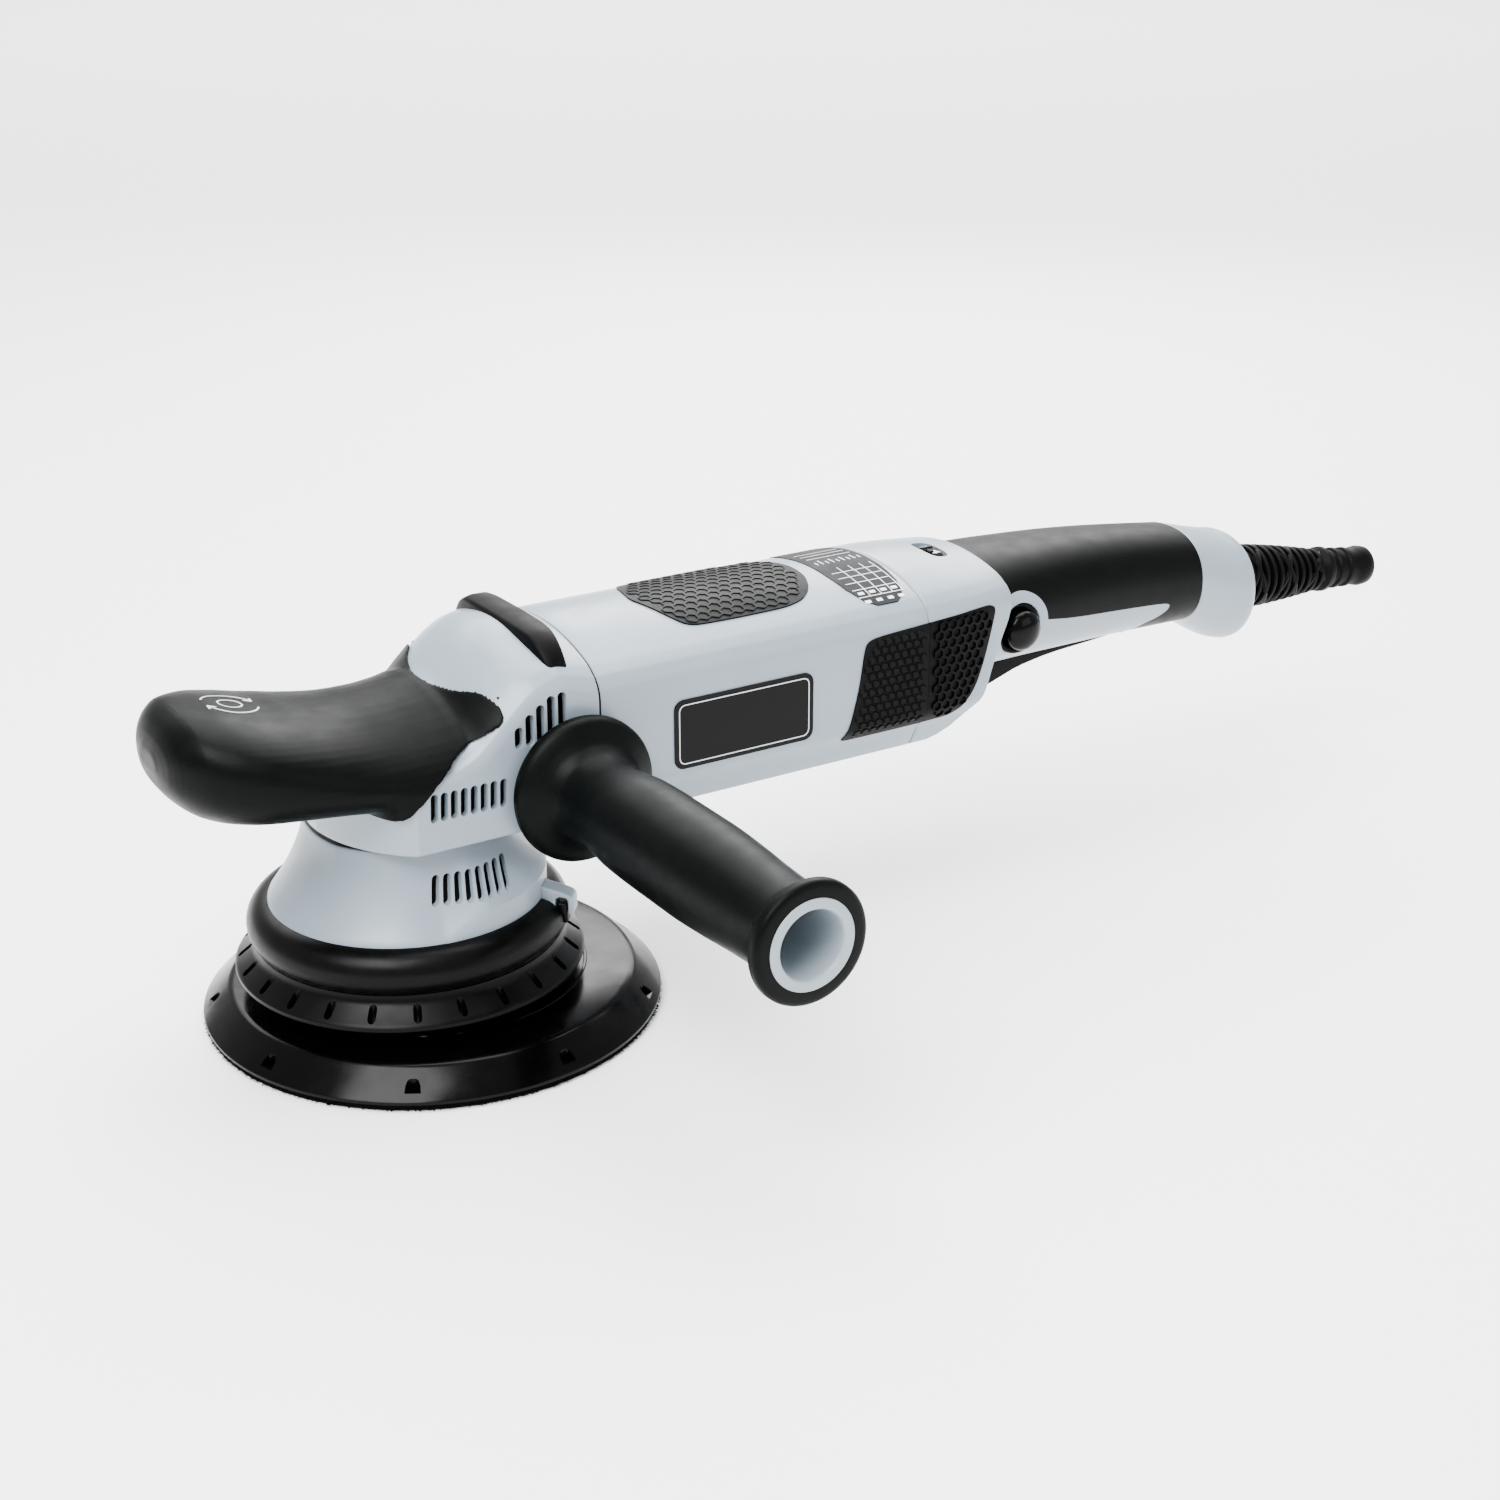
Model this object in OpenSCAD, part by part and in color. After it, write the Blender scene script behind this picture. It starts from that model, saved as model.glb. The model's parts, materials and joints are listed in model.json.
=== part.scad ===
// Dual action polisher. Millimetres, +Z up, +X to the cable end.
// Origin: drive spindle axis, at the face of the hook-and-loop disc.

/* [Working head] */
// Radius of the backing plate's rim
plate_r = 75; // [70:0.5:78]
// Distance from the drive spindle to the pad spindle, half of the orbit
ecc = 7.5; // [5:0.5:9]
// Number of notches in the plate's rim
notches = 9; // [6:1:12]
// Radius of the rubber roll's middle circle
roll_r = 44; // [42:0.5:46]
// Radius of the rubber roll itself
roll_tube = 8; // [6:0.5:9]
// Number of slots in the vent ring
ring_slots = 24; // [12:1:36]
// Height of the seam between head cover and skirt
seam_z = 69.5; // [68:0.5:71]

/* [Gears] */
// Teeth of the crown gear
crown_teeth = 40; // [36:4:44]
// Teeth of the motor pinion
pinion_teeth = 10; // [9:1:11]
// Tooth module
tooth_m = 1; // [0.9:0.05:1.1]

/* [Motor] */
// Height of the motor axis
motor_z = 93; // [92:0.5:94]
// Half-width of the motor housing
body_w = 38; // [37:0.5:40]
// Height of the motor housing's top
body_top = 124; // [123:0.5:127]
// Height of the motor housing's underside
body_bottom = 61.5; // [60:0.5:62]
// Front end of the motor housing
body_x0 = 52; // [51.8:0.1:53]
// Rear end of the motor housing
body_x1 = 179.5; // [178:0.5:181]
// Wall thickness of the plastic shells
wall = 2.6; // [2:0.1:3]

/* [Rear handle] */
// Rear end of the rubber grip
grip_x1 = 320.5; // [316:0.5:322]
// Travel of the trigger in degrees
trigger_travel = 5; // [3:1:6]
// Diameter of the lock button
button_d = 14.4; // [12:0.2:15]

/* [Side handle] */
// Length of the side handle from its flange to its end
side_len = 131; // [110:1:150]
// Middle radius of the side handle's grip
side_r = 16; // [14:0.5:18]
// Radius of the M8 thread
m8_r = 4; // [3.9:0.05:4.1]

/* [Hidden] */
$fn = 48;

grey = "#b9c4cf";
black = "#161718";
steel = "#9a9ea3";
alloy = "#c4c6c8";
copper = "#b06a3a";

// Radii of the arched top and of its shoulders
arch_r = 80;
shoulder_r = 12;

// Points of an arc from angle a0 to a1 in n steps
function arc(cx, cy, r, a0, a1, n) =
    [for (i = [0:n]) let (a = a0 + (a1 - a0) * i / n) [cx + r * cos(a), cy + r * sin(a)]];

function mirrored(pts) = [for (i = [len(pts) - 1:-1:0]) [-pts[i][0], pts[i][1]]];
function at_x(x, pts) = [for (q = pts) [x, q[0], q[1]]];
function at_z(z, pts) = [for (q = pts) [q[0], q[1], z]];

// Value at x of a curve given by [x, value] knots, eased between them
function along(knots, x, i = 0) =
    x <= knots[0][0] ? knots[0][1] :
    i >= len(knots) - 1 ? knots[len(knots) - 1][1] :
    x > knots[i + 1][0] ? along(knots, x, i + 1) :
    let (t = (x - knots[i][0]) / (knots[i + 1][0] - knots[i][0]))
    knots[i][1] + (knots[i + 1][1] - knots[i][1]) * t;

// Closed solid through rings of equal length
module loft(rings) {
    n = len(rings[0]);
    m = len(rings);
    polyhedron(
        points = [for (r = rings) each r],
        faces = concat(
            [[for (i = [0:n - 1]) i]],
            [[for (i = [n - 1:-1:0]) (m - 1) * n + i]],
            [for (k = [0:m - 2], i = [0:n - 1]) [k * n + i, (k + 1) * n + i, (k + 1) * n + (i + 1) % n]],
            [for (k = [0:m - 2], i = [0:n - 1])
                [k * n + i, (k + 1) * n + (i + 1) % n, k * n + (i + 1) % n]]
        ),
        convexity = 6
    );
}

// Outline of the body in the YZ plane, drawn in by t: arched top, round shoulders, bevelled bottom
function body_outline(w, top, bottom, t = 0, arch = arch_r) =
    let (
        s = min(shoulder_r, 0.7 * w),
        cy = w - s,
        z0 = top - arch,
        cz = z0 + sqrt(pow(arch - s, 2) - pow(cy, 2)),
        a = atan2(cz - z0, cy),
        half = concat(
            [[0.76 * w - t, bottom + t], [0.86 * w - t, bottom + 9], [w - t, bottom + 15]],
            arc(cy, cz, s - t, 0, a, 4),
            arc(0, z0, arch - t, a + (90 - a) / 4, 90 - (90 - a) / 4, 2)
        )
    )
    concat(half, [[0, top - t]], mirrored(half));

// Superellipse in the YZ plane
function oval(a, b, zc, power = 2.3, n = 32) =
    [for (i = [0:n - 1]) let (c = cos(i * 360 / n), s = sin(i * 360 / n))
        [a * sign(c) * pow(abs(c), 2 / power), zc + b * sign(s) * pow(abs(s), 2 / power)]];

// Prism that runs along X
module along_x(x0, x1) {
    translate([x0, 0, 0]) rotate([90, 0, 90]) linear_extrude(x1 - x0) children();
}

// Prism that runs along Y through an outline drawn in the XZ plane
module along_y(y0, y1) {
    translate([0, y1, 0]) rotate([90, 0, 0]) linear_extrude(y1 - y0) children();
}

module rounded_rect(w, h, r) {
    square([w - 2 * r, h], center = true);
    square([w, h - 2 * r], center = true);
    for (x = [-1, 1], y = [-1, 1]) translate([x * (w / 2 - r), y * (h / 2 - r)]) circle(r);
}

module tube(r_out, r_in, h) {
    difference() {
        cylinder(r = r_out, h = h);
        translate([0, 0, -1]) cylinder(r = r_in, h = h + 2);
    }
}

// Ball bearing as one ring with the groove between its races
module bearing(r_out, r_in, h) {
    mid = (r_out + r_in) / 2;
    groove = (r_out - r_in) / 6;
    difference() {
        tube(r_out, r_in, h);
        translate([0, 0, -0.5]) tube(mid + groove, mid - groove, 1.2);
        translate([0, 0, h - 0.7]) tube(mid + groove, mid - groove, 1.2);
    }
}

// ---- Pad and its spindle ----

hook_z = 2;
plate_seat_z = 18;
recess_r = 7.2;

module hook_face() {
    color(black) translate([ecc, 0, 0]) tube(plate_r - 0.5, recess_r, hook_z);
}

module backing_plate() {
    rim_top_r = plate_r - 8.4;
    color(black) translate([ecc, 0, 0]) difference() {
        rotate_extrude($fn = 96) polygon([
            [recess_r, hook_z], [plate_r - 0.4, hook_z], [plate_r, hook_z + 0.4],
            [plate_r, hook_z + 1.4], [rim_top_r, 10.9], [rim_top_r - 2.6, 11.7],
            [40, 13], [24, 14.6], [14.5, plate_seat_z], [m8_r + 0.1, plate_seat_z],
            [m8_r + 0.1, 8], [recess_r, 8]
        ]);
        for (i = [0:notches - 1]) rotate([0, 0, -120.5 + i * 360 / notches])
            translate([plate_r - 5.6, -2.6, 5]) cube([8, 5.2, 8]);
    }
}

module plate_bolt() {
    color(steel) translate([ecc, 0, 0]) difference() {
        union() {
            translate([0, 0, 1.4]) cylinder(r = 6.2, h = 5);
            translate([0, 0, 6.4]) cylinder(r = m8_r - 0.06, h = 25);
        }
        translate([0, 0, 1]) cylinder(r = 3.4, h = 3.4, $fn = 6);
    }
}

module plate_washer() {
    color(steel) translate([ecc, 0, 6.4]) tube(7, m8_r + 0.2, 1.6);
}

module pad_spindle() {
    color(steel) translate([ecc, 0, 0]) difference() {
        union() {
            translate([0, 0, plate_seat_z]) cylinder(r = 13, h = 3.5);
            translate([0, 0, 21.5]) cylinder(r = 8.5, h = 4.5);
            translate([0, 0, 26]) cylinder(r = 6, h = 20);
        }
        translate([0, 0, plate_seat_z - 1]) cylinder(r = m8_r, h = 17);
    }
}

// ---- Drive spindle ----

module pad_bearings() {
    color(steel) for (z = [26.5, 35]) translate([ecc, 0, z]) bearing(13.98, 6.05, 8);
}

module counterweight() {
    color(steel) difference() {
        union() {
            translate([ecc, 0, 26]) cylinder(r = 18.5, h = 21);
            translate([0, 0, 43]) cylinder(r = 24, h = 7);
            translate([0, 0, 50]) cylinder(r = 11, h = 7.6);
            translate([0, 0, 30]) intersection() {
                tube(34, 14, 13.5);
                translate([-40, -40, 0]) cube([34, 80, 13.5]);
            }
        }
        translate([ecc, 0, 25]) cylinder(r = 14, h = 18);
        translate([ecc, 0, 42]) cylinder(r = 10, h = 5);
        translate([0, 0, 48.5]) cylinder(r = 7, h = 10);
    }
}

// Underside of the bearing seat that hangs from the gear case's roof
upper_seat_z = 94;

module spindle_shaft() {
    color(steel) {
        translate([0, 0, 48.6]) cylinder(r = 6.98, h = 9.4);
        translate([0, 0, 58]) cylinder(r = 7.5, h = 12.5);
        translate([0, 0, 70.5]) cylinder(r = 11, h = 2.5);
        translate([0, 0, 73]) cylinder(r = 8, h = 13.5);
        translate([0, 0, 86.5]) cylinder(r = 5, h = upper_seat_z - 86.5);
        translate([0, 0, upper_seat_z]) cylinder(r = 4, h = 6.8);
    }
}

module gear_nut() {
    color(steel) translate([0, 0, 87]) difference() {
        cylinder(r = 9.2, h = 4, $fn = 6);
        translate([0, 0, -1]) cylinder(r = 5.05, h = 6);
    }
}

// Pitch radii, and the height at which pinion and crown gear meet
pinion_pitch = pinion_teeth * tooth_m / 2;
crown_pitch = crown_teeth * tooth_m / 2;
mesh_z = motor_z - pinion_pitch;

module crown_gear() {
    root_z = mesh_z - 1.3 * tooth_m;
    tip_z = mesh_z + 0.75 * tooth_m;
    color(steel) {
        difference() {
            union() {
                translate([0, 0, 73]) cylinder(r = 13, h = 6);
                translate([0, 0, 78]) cylinder(r = crown_pitch + 2.5, h = root_z - 78);
            }
            translate([0, 0, 72]) cylinder(r = 8.02, h = 20);
        }
        for (i = [0:crown_teeth - 1]) rotate([0, 0, (i + 0.5) * 360 / crown_teeth])
            translate([crown_pitch - 3, 0, 0]) along_x(0, 5.3)
                polygon([[-0.55, root_z - 0.3], [0.55, root_z - 0.3], [0.3, tip_z], [-0.3, tip_z]]);
    }
}

module spindle_lower_bearing() {
    color(steel) translate([0, 0, 58.6]) bearing(17.48, 7.56, 11);
}

module spindle_upper_bearing() {
    color(steel) translate([0, 0, upper_seat_z + 0.1]) bearing(10.98, 4.06, 7);
}

// ---- Skirt and shrouds ----

// Distance from the spindle axis to the skirt's outside at the seam, in direction a
nose_c = 18.8;
nose_r = 49.3;
skirt_rear = 42.5;
function seam_r(a) = min(
    1 / pow(pow(abs(sin(a)) / (body_w + 0.5), 8) + pow(max(0, cos(a)) / skirt_rear, 8), 1 / 8),
    nose_c * cos(a) + sqrt(nose_r * nose_r - pow(nose_c * sin(a), 2))
);

// The skirt turns from the seam's outline into a circle, sooner at its rear
function skirt_r(a, z) =
    let (
        low = cos(a) > 0 ? 50 : 42,
        t = max(0, min(1, (seam_z - z) / (seam_z - low))),
        bell = 0.45 * t + 0.55 * t * t
    )
    seam_r(a) + (45 - seam_r(a)) * bell;

function skirt_ring(z, inset, n = 60) =
    [for (i = [0:n - 1]) let (a = i * 360 / n, r = skirt_r(a, z) - inset) [r * cos(a), r * sin(a)]];

// Direction of the hook that holds the roll's ear
hook_a = -40;
module skirt_hook() {
    rotate([0, 0, hook_a]) along_y(-3.4, 3.4) polygon([
        [43.4, 40], [43.4, 47], [46, 45.6], [49, 44.9], [51.5, 44.2], [54.2, 43.2], [55.3, 42], [55.3, 36.2],
        [53.5, 36.2], [53.5, 41.2], [52.6, 42.2], [50.6, 42.4], [49.4, 41.8], [49.2, 40.6], [49.2, 34.6],
        [46.8, 34.6], [46, 38]
    ]);
}

module skirt() {
    levels = [seam_z - 0.2, 64, 58, 52, 47, 42, 38];
    color(grey) difference() {
        union() {
            loft([for (i = [len(levels) - 1:-1:0]) at_z(levels[i], skirt_ring(levels[i], 0))]);
            skirt_hook();
        }
        loft([for (z = [37, 42, 47, 52, 58, 64, 71]) at_z(z, skirt_ring(z, 2.5))]);
        for (i = [0:7]) translate([-7.2 + i * 3.45, -60, 52.4]) cube([2.1, 120, 9.6]);
    }
}

module bumper_ring() {
    color(black) difference() {
        union() {
            difference() {
                translate([0, 0, 34]) rotate_extrude($fn = 96) translate([roll_r, 0]) circle(roll_tube);
                rotate([0, 0, hook_a]) translate([42.3, -3.6, 34.4]) cube([11, 7.2, 12]);
            }
            rotate([0, 0, hook_a]) translate([49.5, -2.6, 33]) cube([3.6, 5.2, 7]);
        }
        translate([0, 0, 37.9]) tube(45.2, 42.3, 6);
    }
}

module vent_ring() {
    color(black) difference() {
        rotate_extrude($fn = 96) polygon([
            [38, 18.6], [56, 18.6], [56.5, 19.1], [56.5, 20.6], [55.6, 21.2],
            [50.2, 22.6], [49.6, 29.5], [38, 29.5]
        ]);
        translate([0, 0, 34]) rotate_extrude($fn = 96) translate([roll_r, 0]) circle(roll_tube + 0.02);
        for (i = [0:ring_slots - 1]) rotate([0, 0, (i + 0.5) * 360 / ring_slots]) {
            translate([51.8, 0, 17]) cylinder(r = 0.9, h = 8, $fn = 20);
            translate([54.2, 0, 17]) cylinder(r = 0.9, h = 8, $fn = 20);
            translate([51.8, -0.9, 17]) cube([2.4, 1.8, 8]);
        }
    }
}

// ---- Gear case ----

case_r = 27.4;
cavity_r = 24.2;
socket_x = 42.5;
socket_z = 82;
// Screws between gear case and motor housing: distance to the side, height
ear_places = [[20.5, 116.2], [32, 96]];

module bearing_plate() {
    color(alloy) difference() {
        union() {
            translate([0, 0, 57]) cylinder(r = 22, h = 14);
            translate([0, 0, 64]) cylinder(r = case_r, h = 7);
        }
        translate([0, 0, 58.5]) cylinder(r = 17.5, h = 13);
        translate([0, 0, 56]) cylinder(r = 12.5, h = 4);
    }
}

module gear_cavity() {
    difference() {
        union() {
            translate([0, 0, 70]) cylinder(r = cavity_r, h = 22);
            translate([0, 0, 92]) cylinder(r1 = cavity_r, r2 = 18.5, h = 7.6);
        }
        translate([0, 0, upper_seat_z]) cylinder(r = 13.8, h = 8);
    }
    translate([0, 0, upper_seat_z - 1]) cylinder(r = 11, h = 8.2);
}

module gear_case() {
    color(alloy) difference() {
        union() {
            translate([0, 0, 71]) cylinder(r = case_r, h = 22);
            translate([0, 0, 93]) cylinder(r1 = case_r, r2 = 18, h = 8.8);
            on_motor_axis(15) cylinder(r = 17, h = 25);
            on_motor_axis(39.4) cylinder(r = 27.5, h = 3.8);
            for (side = [-1, 1]) {
                for (q = ear_places) {
                    on_motor_axis(39.4) rotate([0, 0, atan2(side * q[0], motor_z - q[1])])
                        translate([20, -2.6, 0]) cube([10, 5.2, 3.8]);
                    translate([39.4, side * q[0], q[1]]) rotate([0, 90, 0]) cylinder(r = 3, h = 3.8);
                }
                translate([socket_x, side * 38.4, socket_z]) rotate([side * 90, 0, 0])
                    cylinder(r = 9, h = 20);
            }
        }
        gear_cavity();
        translate([30, -30, 60]) cube([20, 60, seam_z + 0.4 - 60]);
        on_motor_axis(15.5) cylinder(r = 6.5, h = 36);
        on_motor_axis(31) cylinder(r = 13, h = 20);
        for (side = [-1, 1]) {
            for (q = ear_places) translate([38, side * q[0], q[1]]) rotate([0, 90, 0])
                cylinder(r = 2, h = 8);
            translate([socket_x, side * 39, socket_z]) rotate([side * 90, 0, 0]) cylinder(r = m8_r, h = 17);
        }
    }
}

module gear_case_screws() {
    color(steel) for (side = [-1, 1], q = ear_places) translate([0, side * q[0], q[1]]) rotate([0, 90, 0]) {
        difference() {
            translate([0, 0, 36.4]) cylinder(r = 2.8, h = 3);
            translate([0, 0, 36]) cylinder(r = 1.5, h = 2, $fn = 6);
        }
        translate([0, 0, 39.4]) cylinder(r = 1.6, h = 21);
    }
}

// ---- Head cover ----

// Where the underside steps down behind the skirt
step_x = skirt_rear + 0.5;
cover_x = [-26, -21, -16, -12, -4, 4, 10, 15, 20, 25, 31, 38];
cover_top = [
    [-30.2, 98], [-27, 104], [-22, 107.6], [-10, 108.4], [0, 108.8], [6, 110.8], [10, 113], [15, 117.6],
    [20, 122], [25, 125.2], [31, 127.2], [38, 127.6], [45, 125.2], [52, body_top]
];
// The head is rounder across its front than over the motor
cover_arch = [[-30, 52], [20, 55], [28, 62], [38, 76], [44, arch_r], [52, arch_r]];
function cover_w(x, t) = x > nose_c ? body_w + 0.3 - t - 0.001 * pow(x - nose_c, 2) :
    min(body_w + 0.3 - t, sqrt(max(0.5, pow(nose_r - t, 2) - pow(x - nose_c, 2))));
function cover_bottom(x, t) = x < step_x - t ? body_bottom - 9 : body_bottom + t;
function cover_ring(x, t) =
    at_x(x, body_outline(cover_w(x, t), along(cover_top, x) - 1.3 * t, cover_bottom(x, t), 0,
        along(cover_arch, x)));

module cover_solid() {
    loft([for (x = concat([-30.2, -29], cover_x, [step_x - 0.3, step_x, 52])) cover_ring(x, 0)]);
}

// Slots whose tops follow the head's shoulder
shoulder_slots = [[22.8, 104.4], [26.6, 106.9], [30.4, 109.2], [34.2, 111.2], [38, 111.6]];

module head_cover() {
    color(grey) difference() {
        cover_solid();
        loft([
            for (x = concat([-27.7], cover_x, [step_x - wall - 0.3, step_x - wall, 53])) cover_ring(x, wall)
        ]);
        translate([-40, -50, 40]) cube([40 + step_x + 0.5, 100, seam_z - 40]);
        for (q = shoulder_slots) translate([q[0] - 0.9, -60, 98.8]) cube([2.6, 120, q[1] - 98.8]);
        for (i = [0:7]) translate([-7.2 + i * 3.35, -60, 80]) cube([2.1, 120, 8.8]);
        for (side = [-1, 1]) translate([socket_x, side * 44, socket_z]) rotate([side * 90, 0, 0])
            cylinder(r = 9.3, h = 16);
    }
}

module top_ridge() {
    color(black) difference() {
        intersection() {
            along_y(-33, 33) polygon([
                [34, 108], [34.2, 126.4], [35.4, 128.2], [37.8, 129.2], [41.2, 129.3],
                [43, 128.6], [44, 126], [44.4, 108]
            ]);
            along_x(30, 48) polygon([
                [-33, 118], [-31.6, 121], [-29, 124.6], [-26, 127.2], [-20, 129], [0, 129.6],
                [20, 129], [26, 127.2], [29, 124.6], [31.6, 121], [33, 118], [33, 117.6], [-33, 117.6]
            ]);
        }
        cover_solid();
    }
}

// ---- Palm grip ----

palm_x = [-80.5, -79, -75.5, -70, -63, -54, -42, -30, -18, -8, 0];
palm_top = [
    [-80.5, 107], [-79, 111.5], [-75.5, 116], [-70, 118.4], [-63, 118], [-54, 116], [-42, 113.4],
    [-30, 111.6], [-18, 110.8], [-8, 111], [0, 111.6], [6, 112.8], [20, 124]
];
palm_low = [
    [-80.5, 101], [-79, 95.6], [-75.5, 90.6], [-70, 86.4], [-63, 84], [-54, 82.6], [-42, 81.8],
    [-30, 81], [-18, 80], [0, 80]
];
palm_w = [
    [-80.5, 7], [-79, 14.5], [-75.5, 21.5], [-70, 28], [-63, 32.6], [-54, 35.8], [-42, 37.4],
    [-30, 38.2], [-18, 38.9], [0, 39.1]
];

function palm_ring(x, t) =
    let (top = along(palm_top, x) - t, low = along(palm_low, x) + t)
    at_x(x, oval(along(palm_w, x) - t, (top - low) / 2, (top + low) / 2, 2.5, 32));

// Rubber skin over the front of the head cover
function skin_ring(x) =
    at_x(x, body_outline(cover_w(x, -0.8), max(along(cover_top, x) + 1, min(along(palm_top, x), 112.8)),
        body_bottom - 9, 0, along(cover_arch, x) + 1));

// The grip's edge on the side of the head
palm_edge = [
    [-100, 79.2], [-17, 80.4], [-13.2, 82.8], [-9.8, 85.6], [-4, 92.5], [3, 98.4], [12, 102.8],
    [18.8, 107], [19.8, 109.6], [18.2, 114], [17, 130], [-100, 130]
];

module palm_grip() {
    color(black) difference() {
        intersection() {
            union() {
                loft([for (x = palm_x) palm_ring(x, 0)]);
                loft([for (x = [-24, -18, -12, -4, 0, 6, 10, 15, 20]) skin_ring(x)]);
            }
            along_y(-60, 60) polygon(palm_edge);
        }
        loft([for (x = [-75.5, -70, -63, -54, -42, -32, -18]) palm_ring(x, 4)]);
        cover_solid();
        translate([44.7, 0, 105]) cylinder(r = 38.7, h = 30);
    }
}

// ---- Motor ----

module on_motor_axis(x) {
    translate([x, 0, motor_z]) rotate([0, 90, 0]) children();
}

module motor_shaft() {
    color(steel) {
        on_motor_axis(16.8) cylinder(r = 2.5, h = 6.2);
        on_motor_axis(23) cylinder(r = 5, h = 22);
        on_motor_axis(45) cylinder(r = 6, h = 105);
        on_motor_axis(150) cylinder(r = 4, h = 26);
    }
}

module pinion_gear() {
    root_r = pinion_pitch - 1.25 * tooth_m;
    tip_r = pinion_pitch + 0.8 * tooth_m;
    color(steel) on_motor_axis(17.2) difference() {
        union() {
            cylinder(r = root_r, h = 5.4);
            for (i = [0:pinion_teeth - 1]) rotate([0, 0, i * 360 / pinion_teeth]) linear_extrude(5.4)
                polygon([[root_r - 0.5, -0.62], [tip_r, -0.28], [tip_r, 0.28], [root_r - 0.5, 0.62]]);
        }
        translate([0, 0, -1]) cylinder(r = 2.52, h = 8);
    }
}

module armature_core() {
    color(steel) on_motor_axis(72) difference() {
        cylinder(r = 17, h = 44);
        translate([0, 0, -1]) cylinder(r = 6.02, h = 46);
        for (a = [0:30:330]) rotate([0, 0, a]) translate([15.6, -1, -1]) cube([3, 2, 46]);
    }
}

module armature_windings() {
    color(copper) for (x = [64.5, 116]) on_motor_axis(x) tube(13.5, 6.02, 7.5);
}

module commutator() {
    color(copper) on_motor_axis(127) difference() {
        tube(11, 6.02, 14);
        for (a = [0:15:345]) rotate([0, 0, a]) translate([10.2, -0.25, -1]) cube([2, 0.5, 16]);
    }
}

module cooling_fan() {
    color(black) on_motor_axis(54) {
        tube(9, 6.02, 8);
        difference() {
            translate([0, 0, 6]) tube(26, 8.9, 2);
        }
        for (a = [0:30:330]) rotate([0, 0, a]) translate([11, -0.8, 0]) cube([14, 1.6, 6.2]);
    }
}

module front_motor_bearing() {
    color(steel) on_motor_axis(31.2) bearing(12.98, 5.06, 8);
}

module rear_motor_bearing() {
    color(steel) on_motor_axis(167) bearing(10.98, 4.06, 7);
}

module bearing_bracket() {
    color(black) difference() {
        union() {
            on_motor_axis(166) cylinder(r = 14, h = 9.5);
            translate([166, -34, motor_z - 5]) cube([4, 68, 10]);
            translate([166, -5, 65]) cube([4, 10, 54]);
        }
        on_motor_axis(160) cylinder(r = 6, h = 20);
        on_motor_axis(166.9) cylinder(r = 11, h = 20);
    }
}

module stator_core() {
    color(steel) on_motor_axis(72) difference() {
        cylinder(r = 28, h = 44);
        translate([0, 0, -1]) cylinder(r = 17.6, h = 46);
        for (side = [0, 180]) rotate([0, 0, side]) translate([0, 0, -1]) rotate_extrude(angle = 80)
            translate([17, 0]) square([6, 46]);
    }
}

module field_coils() {
    coil_start = 3;
    color(copper) on_motor_axis(64) for (side = [0, 180]) rotate([0, 0, side]) {
        rotate([0, 0, coil_start]) rotate_extrude(angle = 74) translate([18.2, 0]) square([4.2, 60]);
    }
}

module fan_baffle() {
    color(black) on_motor_axis(63.2 - 0.4) tube(28.2, 24, 1);
}

module brush_holders() {
    color(alloy) for (side = [-1, 1]) difference() {
        translate([129, side > 0 ? 12 : -32, motor_z - 5.5]) cube([10, 20, 11]);
        translate([130.4, side > 0 ? 11 : -30.6, motor_z - 4.1]) cube([7.2, 19.6, 8.2]);
    }
}

module carbon_brushes() {
    color("#2a2a2c") for (side = [-1, 1])
        translate([130.5, side > 0 ? 11.4 : -25.4, motor_z - 4]) cube([7, 14, 8]);
}

module motor_housing() {
    color(grey) difference() {
        union() {
            difference() {
                along_x(body_x0, body_x1) polygon(body_outline(body_w, body_top, body_bottom));
                along_x(body_x0 - 1, body_x1 + 1)
                    polygon(body_outline(body_w, body_top, body_bottom, wall));
            }
            intersection() {
                for (side = [-1, 1], q = ear_places) translate([body_x0, side * q[0], q[1]])
                    rotate([0, 90, 0]) cylinder(r = 4.6, h = 10);
                along_x(body_x0, body_x1) polygon(body_outline(body_w, body_top, body_bottom, 1));
            }
        }
        for (side = [-1, 1], q = ear_places) translate([body_x0 - 1, side * q[0], q[1]])
            rotate([0, 90, 0]) cylinder(r = 1.85, h = 12);
    }
}

// A skin of the given thickness on the outside of the motor housing
module body_skin(thick) {
    difference() {
        along_x(body_x0 + 1, body_x1) polygon(body_outline(body_w, body_top, body_bottom, -thick));
        along_x(body_x0, body_x1 + 1) polygon(body_outline(body_w, body_top, body_bottom));
    }
}

module top_pad() {
    color(black) intersection() {
        body_skin(0.8);
        translate([0, 0, 100]) linear_extrude(40) union() {
            translate([106, 0]) square([44, 44], center = true);
            translate([128, 0]) circle(22, $fn = 60);
            translate([92, 0]) circle(22, $fn = 60);
        }
    }
}

module rating_label() {
    color("#3a3f44") intersection() {
        body_skin(0.35);
        translate([155, -32, 100]) cube([22.5, 64, 40]);
    }
}

module badges() {
    color(black) for (side = [-1, 1]) translate([0, side > 0 ? body_w : -body_w - 0.6, 0])
        translate([105.2, 0.3, 89.9]) rotate([90, 0, 0]) linear_extrude(0.6, center = true)
            rounded_rect(53.4, 23.8, 3.5);
}

// Outline of the rough panel that runs over both housings
panel = [
    [145.5, 72.2], [190.5, 72.2], [201.5, 82.5], [210, 109.4], [207.5, 110.8], [157, 108.4], [153.2, 106]
];

module side_pads() {
    color(black) intersection() {
        body_skin(1.2);
        along_y(-60, 60) polygon(panel);
    }
}

// ---- Rear housing ----

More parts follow.
